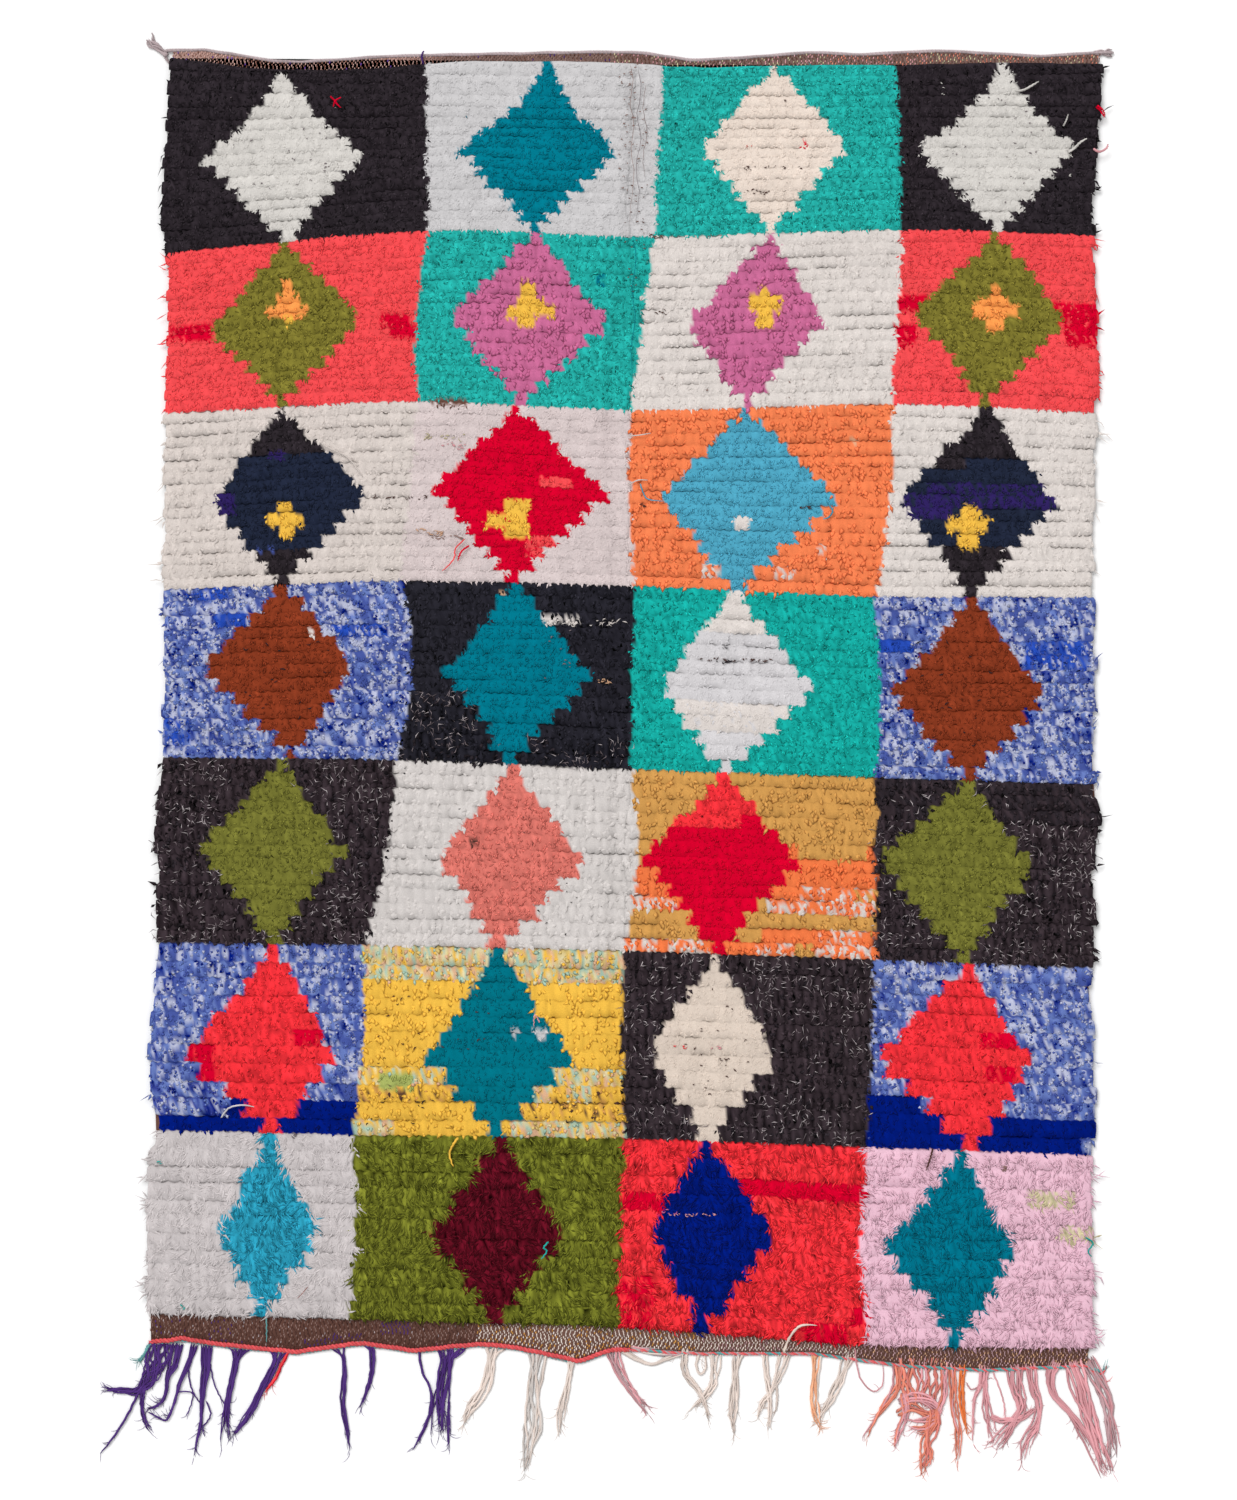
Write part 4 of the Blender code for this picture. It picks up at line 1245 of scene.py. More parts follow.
def layLocks(lock, rng):
    # a lock's root is under the felt, its middle rises over it and its tip lies on it again
    count, shaggy, hairs, isPale = lock.count, lock.shaggy, lock.hairs, pale[lock.mixed]
    paths = np.zeros((count, 3, 3))
    for stop, along, rise in ((0, 0.0, -pileForm["bury"]), (1, 0.45, pileForm["rise"]), (2, 1.0, 0.0)):
        x = lock.x + np.cos(lock.heading) * lock.length * along
        y = lock.y + np.sin(lock.heading) * lock.length * along
        height = surfaceAt(lock.row, x, y, lock.share + lock.fall * along, lock.fibre) + rise
        paths[:, stop] = np.stack([x, y, height], axis=-1)
    gather = fibreValues("knit")[lock.fibre] * lock.centred * roll["tuftWidth"]
    paths[..., 0] -= gather[:, None]
    paths[:, 2, 0] -= np.where(shaggy, gather, 0.0)
    curl = rng.normal(0, 1, (count, 2)) * (lock.length * np.where(hairs, 0.20, 0.10))[:, None]
    paths[:, 1, :2] += curl
    loose = np.where(isPale & ~shaggy, pileForm["paleLoose"], pileForm["loose"])
    paths[:, 1, 2] += rng.uniform(-0.5, 0.6, count) * loose
    paths[:, 2, 2] += rng.uniform(-0.2, 1.0, count) * loose * 0.75
    half = fibreValues("width")[lock.fibre] / 2 * rng.uniform(0.75, 1.25, count)
    half = np.where(hairs, pileForm["hairHalf"], np.where(lock.wisps, pileForm["wispHalf"], half))[:, None]
    flat = fibreValues("flat")[lock.fibre] * np.where(isPale, byPile("paleFlat", shaggy), 1.0)
    tall = half * flat[:, None]
    paths[hairs, 1:, 2] += pileForm["hairRise"]
    paths[..., 2] = np.maximum(paths[..., 2], tall + 0.0002)
    return paths, half, tall


def shadeLocks(lock, rng):
    # the yarn's colour times its tone: by the lock, by the clump, by the tuft, by the cast along
    # the row; then painted shade at the tuft's edges, painted shade at random in the long crease,
    # and painted shade at the lock's root and painted light at its tip
    row, fibre, mixed = lock.row, lock.fibre, lock.mixed
    clump = clumpAt(row, lock.x, lock.share, pileForm["clump"], 9)
    vary = fibreValues("tone")[fibre] * lively[mixed]
    tone = 1 + vary * (rng.normal(0, 0.8, lock.count) + 1.5 * (clump - 0.5))
    tone = np.where(lock.shaggy, np.clip(tone, *pileForm["shagTones"]), tone)
    tone *= (1 + cast["byTuft"] * tuftLuck[row, lock.cell]) * castAt(row, lock.x)
    # painted shade, at random, on locks in the long crease
    tone *= 1 - pileForm["creaseShade"] * lock.crease * rng.random(lock.count) ** 2
    # painted shade at each tuft's edges
    tone *= 1 - fibreValues("outline")[fibre] * (1 - lock.rounded) ** 1.5
    vivid = (yarnColours[mixed].max(axis=1) > 0.55) & ~pale[mixed]
    # painted shade at the root and painted light at the tip
    shade = lockShadeAndLight[np.where(lock.shaggy & vivid, 4, pale[mixed] + 2 * lock.shaggy)]
    return yarnColours[mixed][:, None] * (tone[:, None] * shade)[..., None]


def makePile():
    rng = np.random.default_rng(pileForm["seed"])
    lock = rootLocks(rng)
    aimLocks(lock, rng)
    paths, half, tall = layLocks(lock, rng)
    colours = shadeLocks(lock, rng)
    order = np.argsort(lock.mixed * 1000 + lock.row, kind="stable")
    for name, (names, finish) in pilePieces.items():
        own = order[np.isin(lock.mixed[order], [yarn(n) for n in names.split()])]
        smooth = name not in ("pile_white", "pile_chalk")
        shape = paths[own], half[own], tall[own], 3, colours[own]
        addPiece(strandPiece(name, *shape, finishes[finish], smooth))
        print(f"rug: {name} has {len(own)} locks")


makePile()

# the ends' own outlines, as the weave's edge at places across
ends = {
    "head": np.array(
        [
            [-0.696, 0.981], [-0.636, 0.982], [-0.535, 0.966], [-0.486, 0.964], [-0.344, 0.973],
            [-0.029, 0.979], [0.032, 0.976], [0.091, 0.967], [0.159, 0.969], [0.267, 0.978],
            [0.347, 0.975], [0.459, 0.981], [0.624, 0.972], [0.708, 0.978],
        ]
    ),
    "foot": np.array(
        [
            [-0.722, -0.954], [-0.67, -0.948], [-0.609, -0.957], [-0.498, -0.968], [-0.402, -0.954],
            [-0.326, -0.966], [-0.224, -0.956], [-0.17, -0.961], [-0.075, -0.982], [-0.024, -0.964],
            [0.099, -0.971], [0.273, -0.971], [0.411, -0.989], [0.529, -0.996], [0.692, -0.989],
        ]
    ),
}

# the ground weave: one thin cloth from end to end, seen at both ends and from below. The pile
# hides its insets at the sides; its foot is brown over a span, and its head is painted lighter on
# the left to lift the shade that the cord and the pile cast on its narrow band, and darker to the right
weave = {
    "across": 140,
    "down": 24,
    "thickness": 0.0034,
    "flatSize": (1.41, 1.945),
    "insets": (0.0062, 0.0068),
    "cordTakes": 0.0052,
    "underCord": 0.0030,
    "brownSpan": (-0.226, 0.346),
    "shadeLiftFades": (-0.34, -0.26),
}


def edgeAt(end, x):
    # the weave's edge; at the head the cord takes the outermost millimetres, and the weave runs
    # on a little below it
    return np.interp(x, ends[end][:, 0], ends[end][:, 1]) - (weave["cordTakes"] if end == "head" else 0.0)


def makeWeave():
    # a flat cloth on the lattice, drawn out to the wavy edge at each end
    across = np.linspace(0, 4, weave["across"] + 1)
    down = np.linspace(0, 7, weave["down"] + 1)
    x, y = onRug(across[None, :], down[:, None])
    x[:, 0] = sideAt("leftSide", y[:, 0]) + weave["insets"][0]
    x[:, -1] = sideAt("rightSide", y[:, -1]) - weave["insets"][1]
    head = np.stack([x[0], edgeAt("head", x[0]) + weave["underCord"]], axis=-1)
    foot = np.stack([x[-1], edgeAt("foot", x[-1])], axis=-1)
    flat = np.concatenate([head[None], np.stack([x, y], axis=-1)[1:-1], foot[None]])
    top = np.concatenate([flat, np.full((*flat.shape[:2], 1), weave["thickness"])], axis=-1)
    colours = np.zeros(top.shape) + yarnColours[yarn("earth")]
    middle = (x[-1] > weave["brownSpan"][0]) & (x[-1] < weave["brownSpan"][1])
    colours[-2:, middle] = yarnColours[yarn("endBrown")] * 1.15
    # painted light: the head's taupe is lighter on the left, to lift the shade of the cord and the pile
    # there, and darker to the right
    colours[:2] = yarnColours[yarn("taupe")] * np.interp(x[0], weave["shadeLiftFades"], [1.5, 0.7])[:, None]
    under = yarnColours[yarn("earth")]
    piece = gridSlab("ground_weave", top, 0.0, finishes["kilim"], colours, under, 0.5)
    print("rug: ground weave made")
    return addPiece(piece, "rug_body")


groundWeave = makeWeave()

# short warp floats that stand out of the flat weave at both bare ends, in brick order: where
# across each band ends, how far apart its floats are across and down, how long and wide they
# are, their yarns and the share of each
endBands = {
    "head": [
        (-0.02, 0.003, 0.003, 0.0047, 0.0019, "taupe earth purple", (0.62, 0.3, 0.08)),
        (0.3, 0.003, 0.003, 0.0047, 0.0019, "earth rose khaki", (0.5, 0.3, 0.2)),
        (0.45, 0.003, 0.003, 0.0047, 0.0019, "apricot earth rose", (0.34, 0.46, 0.2)),
        (0.8, 0.003, 0.003, 0.0047, 0.0019, "earth apricot khaki", (0.54, 0.26, 0.2)),
    ],
    "foot": [
        (-0.226, 0.003, 0.003, 0.0047, 0.0019, "taupe brown mauve", (0.52, 0.42, 0.06)),
        (0.11, 0.0031, 0.0028, 0.005, 0.0023, "ivory cream ochre", (0.58, 0.18, 0.24)),
        (0.346, 0.0028, 0.0026, 0.0048, 0.0023, "ivory cream dustyRose", (0.56, 0.16, 0.28)),
        (0.8, 0.003, 0.0028, 0.0047, 0.0021, "dustyRose peach taupe", (0.42, 0.26, 0.32)),
    ],
}
# stains of purple in the foot's weave, in the photograph's pixels: middle, size and share
stains = [
    (396, 1325, 30, 18, 0.75),
    (316, 1343, 24, 9, 0.7),
    (345, 1337, 34, 8, 0.65),
    (200, 1333, 90, 26, 0.1),
]

# how the floats lie: their rows, how far each strays and the columns sway, where the first row
# is and how high they lie at either end, how far they reach under the pile and from the edge,
# what they leave free at the sides, their lean, and how high their middles and ends are
floatForm = {
    "rows": 26,
    "stray": (0.0003, 0.0002),
    "sway": 0.003,
    "firstRow": {"head": -0.0004, "foot": 0.0030},
    "lift": {"head": 0.0010, "foot": 0.0},
    "underPile": 0.006,
    "reach": 0.06,
    "atSides": 0.004,
    "start": -0.722,
    "stop": 0.712,
    "lean": 0.10,
    "rise": 0.0007,
    "bury": 0.0003,
    "seed": 31,
}


def makeFloats(name, end):
    # a lens of yarn along the warp at every second crossing of each band's own net
    rng = np.random.default_rng(floatForm["seed"])
    sign = 1 if end == "head" else -1
    line = 0 if end == "head" else rowCount
    sets = []
    low = floatForm["start"]
    for band in table("until across down long wide yarns shares", endBands[end]):
        across, down = band["across"], band["down"]
        columns = int((min(band["until"], floatForm["stop"]) - low) / across)
        i, j = np.meshgrid(np.arange(columns), np.arange(floatForm["rows"]))
        i, j = i[(i + j) % 2 == 0], j[(i + j) % 2 == 0]
        strayX = rng.normal(0, floatForm["stray"][0], len(i))
        x = low + across * i + strayX + floatForm["sway"] * tuftWander[3, j]
        strayY = rng.normal(0, floatForm["stray"][1], len(i))
        y = edgeAt(end, x) - sign * (floatForm["firstRow"][end] + down * j) + strayY
        keep = (sign * (y - lineAt(line, x)) > -floatForm["underPile"]) & (j * down < floatForm["reach"])
        keep &= x > sideAt("leftSide", y) + floatForm["atSides"]
        keep &= x < sideAt("rightSide", y) - floatForm["atSides"]
        x, y = x[keep], y[keep]
        picks = np.array([yarn(n) for n in band["yarns"].split()])
        chosen = np.clip(np.searchsorted(np.cumsum(band["shares"]), rng.random(len(x))), 0, 2)
        size = np.array([(band["long"], band["wide"])] * len(x))
        sets.append((x, y, picks[chosen], size))
        low = band["until"]
    x, y, colour, size = (np.concatenate(parts) for parts in zip(*sets))
    count = len(x)
    if end == "foot":
        for *spot, share in stains:
            px, py, wide, tall = spotFromPhoto(*spot)
            hit = (np.abs(x - px) < wide) & (np.abs(y - py) < tall) & (rng.random(count) < share)
            colour[hit] = yarn("purple")
    lean = rng.normal(0, floatForm["lean"], count) + floatForm["lean"]
    half = size[:, 0] / 2 * rng.uniform(0.8, 1.2, count)
    paths = np.zeros((count, 4, 3))
    for stop, (share, height) in enumerate(((1, 0.0), (0.45, 1.0), (-0.45, 1.0), (-1, 0.0))):
        paths[:, stop, 0] = x + np.sin(lean) * half * share
        paths[:, stop, 1] = y + np.cos(lean) * half * share
        paths[:, stop, 2] = weave["thickness"] + floatForm["rise"] * height - floatForm["bury"]
    paths[..., 2] += floatForm["lift"][end]
    wide = size[:, 1:] / 2 * rng.uniform(0.85, 1.15, (count, 1)) * np.ones((1, 2))
    # painted light: at the head the floats are lighter, most on the left, to lift the shade that the cord and
    # the pile cast on the narrow band; at the foot all are a little lighter
    lighter = np.interp(x, weave["shadeLiftFades"], [2.6, 1.35]) if end == "head" else 1.1
    tone = (1 + rng.normal(0, 0.14, count)) * lighter
    # painted shade at each float's two ends, where it dips into the weave
    colours = yarnColours[colour][:, None] * (tone[:, None] * np.array([0.8, 1.0, 1.0, 0.8]))[..., None]
    addPiece(strandPiece(name, paths, wide, wide * 0.5, 3, colours, finishes["kilim"]))
    print(f"rug: {name} has {count} floats")


makeFloats("head_floats", "head")
makeFloats("foot_floats", "foot")

# the twisted cords along both ends: where each starts and stops, how far out of the weave's edge
# it lies, how thick a ply is and how long a twist, its plies as yarn and share, and over how many
# places its shade drifts and by how much; in the last, plies turn to other yarns where the drift
# is high, and the first one is lifted towards grey where it is low
cordStep = 0.0022
cordSeed = 41
cords = [
    {
        "name": "head_twist",
        "end": "head",
        "span": (-0.700, 0.728),
        "out": 0.0037,
        "plyWidth": 0.0033,
        "twist": 0.0064,
        "plies": (("mauve", 1.0), ("mauve", 0.90), ("mauve", 1.08)),
        "drift": (120, 0.08),
        "slot": "head_cord_yarn",
        "replaced": "head_cord",
    },
    {
        "name": "foot_twist_coral",
        "end": "foot",
        "span": (-0.7215, 0.005),
        "out": 0.0032,
        "plyWidth": 0.0042,
        "twist": 0.0120,
        "plies": (("coralCord", 1.0), ("coralCord", 0.86)),
        "drift": (160, 0.07),
        "slot": "rose_yarn",
    },
    {
        "name": "foot_twist_teal",
        "end": "foot",
        "span": (-0.7215, -0.02),
        "out": 0.0066,
        "plyWidth": 0.0022,
        "twist": 0.0110,
        "plies": (("greyTeal", 1.0), ("mauve", 0.8)),
        "slot": "rose_yarn",
    },
    {
        "name": "foot_twist_mixed",
        "end": "foot",
        "span": (-0.035, 0.6915),
        "out": 0.0032,
        "plyWidth": 0.0028,
        "twist": 0.0150,
        "plies": (("coralCord", 0.8), ("mauve", 1.0), ("coralCord", 1.0)),
        "lift": (0.1, 0.0, 0.0),
        "turned": (("greyTeal", 1.0), ("greyTeal", 0.9), ("coralCord", 1.0)),
        "drift": (90, 0.1),
        "slot": "rose_yarn",
    },
]


def evenEdge(end, x):
    # the wavy edge, evened over a little more than its cord's width
    return np.mean([edgeAt(end, x + offset) for offset in np.linspace(-0.006, 0.006, 7)], axis=0)


def plyPaths(cord, x, rng):
    # each ply's centre circles the cord's line once a twist
    out = cord["out"] if cord["end"] == "head" else -cord["out"]
    wobble = np.interp(x, np.linspace(x[0], x[-1], 70), rng.normal(0, 0.0004, 70))
    y = evenEdge(cord["end"], x) + out + wobble
    z = cord["plyWidth"] * 0.92
    orbit = cord["plyWidth"] * 0.42
    paths = []
    for ply in range(len(cord["plies"])):
        turn = 2 * math.pi * (x / cord["twist"] + ply / len(cord["plies"]))
        paths.append(np.stack([x, y + orbit * np.cos(turn) * 1.1, z + orbit * np.sin(turn)], axis=-1))
    return np.array(paths)


def plyColours(cord, x, rng):
    plies = np.array([yarnColours[yarn(name)] * share for name, share in cord["plies"]])[:, None]
    if "drift" not in cord:
        return plies + 0 * x[:, None]
    places, share = cord["drift"]
    drift = np.interp(x, np.linspace(-0.8, 0.8, places), rng.normal(0, 1, places))[:, None]
    if "turned" not in cord:
        return plies * (1 + share * drift)
    plies += np.array(cord["lift"])[:, None, None]
    turned = np.array([yarnColours[yarn(name)] * share for name, share in cord["turned"]])[:, None]
    return np.where(drift > share, turned, plies)


def makeCords():
    rng = np.random.default_rng(cordSeed)
    for cord in cords:
        x = np.arange(*cord["span"], cordStep)
        paths = plyPaths(cord, x, rng)
        colours = plyColours(cord, x, rng)
        last = len(x) - 3
        ends = np.interp(np.arange(last + 1), [0, 3, last - 3, last], [0.4, 1, 1, 0.4])
        half = np.full((len(paths), last + 1), cord["plyWidth"] / 2) * ends
        piece = strandPiece(cord["name"], paths, half, half * 0.92, 5, colours, finishes["cord"])
        addPiece(piece, cord.get("replaced"))
        print(f"rug: {cord['name']} made")


makeCords()

# the warp fringe, bundle by bundle: its yarns, their number, and its route, each point with the
# width there (1 where none is given), in the photograph's pixels; then for some how thick the
# yarns are beside the usual, and how far they wander from side to side
bundleColumns = "yarns count route full cross"
fringe = {
    "fringe_purple": [
        ("purple", 16, [(161, 1341, 26), (156, 1363, 22), (149, 1379, 15), (140, 1390, 8)]),
        ("purple", 6, [(144, 1385, 9), (134, 1392, 8), (118, 1389, 8), (106, 1390, 4)]),
        ("purple", 2, [(146, 1380, 4), (137, 1396, 3), (128, 1414, 2), (115, 1435, 2), (100, 1454, 1)]),
        ("purple", 5, [(144, 1383, 7), (142, 1400, 5), (144, 1416, 5), (151, 1431, 6)]),
        ("purple", 8, [
            (179, 1342, 16), (174, 1363, 11), (168, 1376, 5), (165, 1396, 4), (157, 1406, 4),
            (146, 1409, 3),
        ]),
        ("purple", 6, [
            (195, 1342, 13), (189, 1362, 7), (180, 1382, 4), (176, 1398, 3), (171, 1412, 3),
            (166, 1420, 3), (157, 1416, 3), (146, 1411, 2),
        ]),
        ("purple", 1, [(188, 1360), (190, 1382), (195, 1395), (201, 1404)]),
        ("purple", 1, [(177, 1392), (186, 1391), (193, 1394), (190, 1408), (186, 1416)]),
        ("purple", 8, [
            (208, 1342, 15), (206, 1367, 9), (203, 1389, 6), (202, 1407, 5), (201, 1424, 4),
            (197, 1440, 3), (194, 1457, 1),
        ]),
        ("purple", 1, [(206, 1400), (211, 1413), (207, 1422), (203, 1427), (205, 1437)]),
        ("purple", 1, [(210, 1362), (214, 1382), (221, 1398), (227, 1407)]),
        ("purple", 9, [
            (239, 1345, 34), (238, 1355, 12), (235, 1367, 7), (230, 1389, 6), (227, 1407, 6),
            (226, 1422, 9), (226, 1447, 14),
        ]),
        ("purple", 8, [
            (277, 1346, 30), (276, 1358, 10), (270, 1374, 8), (261, 1391, 7), (253, 1407, 7),
            (243, 1422, 7), (233, 1436, 3),
        ]),
        ("crimson coral greyTeal", 3, [(290, 1348, 4), (279, 1371, 5), (271, 1384, 4), (265, 1393, 3)]),
        ("greyTeal coral", 3, [(153, 1341, 3), (148, 1347, 4), (144, 1354, 4), (138, 1362, 4)]),
        ("purple", 4, [
            (339, 1345, 24), (343, 1356, 6), (344, 1377, 6), (343, 1402, 6), (347, 1430, 6),
            (350, 1451, 2),
        ]),
        ("purple", 4, [
            (368, 1342, 17), (372, 1352, 7), (372, 1370, 5), (368, 1388, 6), (360, 1409, 4),
        ]),
        ("purple", 3, [
            (419, 1346, 4), (422, 1370, 3), (431, 1390, 3), (430, 1412, 4), (421, 1434, 5),
            (413, 1451, 3),
        ]),
        ("purple", 13, [
            (450, 1344, 44), (447, 1358, 12), (443, 1384, 14), (441, 1408, 17), (441, 1436, 20),
        ]),
        ("purple", 2, [(449, 1400, 3), (448, 1424, 4), (449, 1447, 4)]),
    ],
    "fringe_ivory": [
        ("ivory", 7, [
            (496, 1346, 30), (493, 1357, 10), (488, 1380, 12), (477, 1399, 12), (468, 1412, 8),
            (464, 1425, 2),
        ]),
        ("ivory warmWhite", 10, [
            (537, 1347, 22), (537, 1366, 15), (534, 1395, 14), (533, 1425, 19), (529, 1450, 13),
            (525, 1473, 3),
        ]),
        ("ivory", 5, [(571, 1353, 14), (570, 1372, 6), (566, 1392, 7), (561, 1413, 9), (560, 1438, 8)]),
    ],
    "fringe_ivory_right": [
        ("dustyRose rose", 7, [
            (613, 1344, 22), (616, 1360, 12), (624, 1380, 9), (636, 1399, 9), (650, 1413, 13),
        ]),
        ("dustyRose ivory", 4, [
            (617, 1347, 5), (636, 1357, 9), (652, 1364, 7), (668, 1358, 8), (687, 1351, 5),
        ]),
        ("rose ivory mauve", 4, [
            (630, 1346, 5), (644, 1350, 7), (660, 1352, 8), (676, 1354, 7), (700, 1350, 5),
        ]),
        ("ivory", 5, [
            (686, 1347, 10), (684, 1362, 8), (686, 1375, 7), (698, 1389, 6), (705, 1402, 5),
            (709, 1421, 3),
        ]),
        ("ivory", 6, [
            (714, 1350, 16), (715, 1370, 10), (713, 1384, 8), (704, 1397, 7), (689, 1413, 8),
        ]),
        ("ivory", 2, [(700, 1351, 4), (696, 1364, 3), (700, 1374, 3), (706, 1367, 3), (704, 1352, 4)]),
        ("ivory", 6, [(739, 1350, 16), (736, 1370, 9), (734, 1395, 9), (733, 1415, 9), (734, 1434, 4)]),
        ("ivory", 4, [(764, 1350, 10), (765, 1370, 7), (769, 1389, 6), (770, 1408, 5), (768, 1430, 4)]),
        ("ivory", 5, [(786, 1350, 16), (779, 1372, 9), (771, 1391, 8), (762, 1402, 6), (758, 1420, 3)]),
        ("ivory", 2, [(776, 1380, 3), (777, 1396, 3), (776, 1411, 3)]),
        ("ivory apricotPale", 6, [
            (816, 1352, 13), (815, 1375, 8), (814, 1398, 8), (817, 1416, 9), (821, 1427, 4),
        ]),
        ("ivory apricotPale ivory", 6, [
            (850, 1352, 16), (843, 1372, 10), (834, 1391, 9), (826, 1407, 9), (819, 1421, 8),
        ]),
        ("rose", 1, [(854, 1342), (858, 1372), (866, 1386), (875, 1391), (883, 1382), (882, 1358)]),
    ],
    "fringe_apricot": [
        ("apricot rose", 5, [
            (896, 1362, 10), (897, 1385, 10), (885, 1404, 7), (876, 1418, 5), (865, 1439, 9),
        ]),
        ("knotPink rose knotPink apricot", 15, [
            (918, 1356, 56), (918, 1376, 48), (919, 1392, 40), (920, 1406, 34),
        ], 1.45, 0.12),
        ("apricot rose", 6, [(903, 1392, 8), (904, 1412, 11), (899, 1430, 8), (895, 1448, 4)]),
        ("knotPink rose", 5, [
            (898, 1402, 10), (911, 1398, 14), (926, 1402, 16), (938, 1410, 14), (932, 1421, 14),
            (917, 1424, 12), (904, 1420, 8),
        ], 1.5, 0.6),
        ("knotPink apricot", 4, [
            (896, 1414, 8), (909, 1408, 13), (923, 1413, 15), (936, 1420, 12), (925, 1430, 10),
            (910, 1428, 7),
        ], 1.5, 0.6),
        ("apricot knotPink", 9, [
            (934, 1408, 10), (932, 1426, 14), (927, 1444, 14), (926, 1458, 13), (922, 1475, 6),
        ]),
        ("rose apricot", 5, [(944, 1360, 13), (945, 1384, 8), (941, 1402, 7), (936, 1420, 6)]),
        ("apricot knotPink rose", 5, [
            (951, 1362, 9), (953, 1390, 7), (954, 1410, 9), (957, 1434, 10), (958, 1461, 4),
        ]),
        ("apricotDeep", 4, [(962, 1362, 9), (961, 1386, 6), (963, 1408, 7), (968, 1436, 4)]),
    ],
    "fringe_rose": [
        ("rose", 4, [(983, 1362, 14), (979, 1385, 6), (974, 1402, 4), (973, 1443, 3)]),
        ("rose", 5, [
            (987, 1362, 14), (984, 1384, 8), (985, 1402, 9), (990, 1422, 10), (994, 1445, 14),
        ]),
        ("rose", 1, [(992, 1370), (1000, 1390), (1004, 1405), (1005, 1420)]),
        ("rose", 1, [(966, 1382), (971, 1389), (979, 1386), (986, 1378)]),
        ("rose", 8, [
            (1014, 1362, 20), (1017, 1388, 14), (1020, 1406, 12), (1012, 1424, 12), (996, 1450, 22),
        ], 1.35),
        ("rose", 4, [(990, 1416, 6), (1004, 1420, 8), (1020, 1418, 7), (1036, 1408, 5)]),
        ("rose", 7, [
            (1029, 1360, 14), (1033, 1386, 9), (1038, 1404, 9), (1036, 1424, 11), (1026, 1442, 12),
            (1023, 1464, 4),
        ]),
        ("rose", 6, [
            (1056, 1358, 16), (1050, 1376, 9), (1054, 1394, 8), (1070, 1412, 9), (1086, 1438, 10),
            (1106, 1477, 12),
        ], 1.45),
        ("rose", 9, [
            (1072, 1358, 22), (1079, 1388, 18), (1088, 1414, 15), (1098, 1440, 14), (1108, 1474, 14),
        ], 1.5),
        ("rose dustyRose", 8, [
            (1086, 1358, 18), (1100, 1384, 13), (1108, 1406, 12), (1111, 1430, 12), (1116, 1462, 17),
        ], 1.5),
        ("greyTeal coralCord", 3, [(1086, 1364, 5), (1093, 1370, 6), (1102, 1372, 5), (1106, 1367, 4)]),
        ("coralCord", 2, [(1092, 1370, 5), (1099, 1378, 5), (1105, 1382, 4)]),
    ],
}
# a yarn of the fringe: its stops and sides, its width, how much thicker it usually is and how it
# varies, where it may end along its bundle, how far yarns cross where they are many or few, how
# far out of the bundle they reach, how they wobble, lie over each other and keep off the floor,
# how their tone varies, and the fine hairs that fray from its end
yarnForm = {
    "stops": 17,
    "sides": 4,
    "width": 0.0029,
    "full": 1.15,
    "vary": (0.75, 1.15),
    "endsAt": (0.84, 1.0),
    "cross": (0.55, 0.1),
    "out": 1.1,
    "wobble": 0.0006,
    "layer": 0.0011,
    "lowest": 0.0020,
    "tone": 0.09,
    "frays": 3,
    "hairStops": 6,
    "hairWidth": 0.0009,
    "hairLength": (0.008, 0.022),
    "hairHeight": 0.0011,
}


def routeCurve(points, count):
    # a Catmull-Rom curve through the route's points, even in their number
    position = np.linspace(0, len(points) - 1, count)
    picks, shares = smoothShares(position, len(points))
    return sum(shares[i][:, None] * points[np.clip(picks[i], 0, len(points) - 1)] for i in range(4))


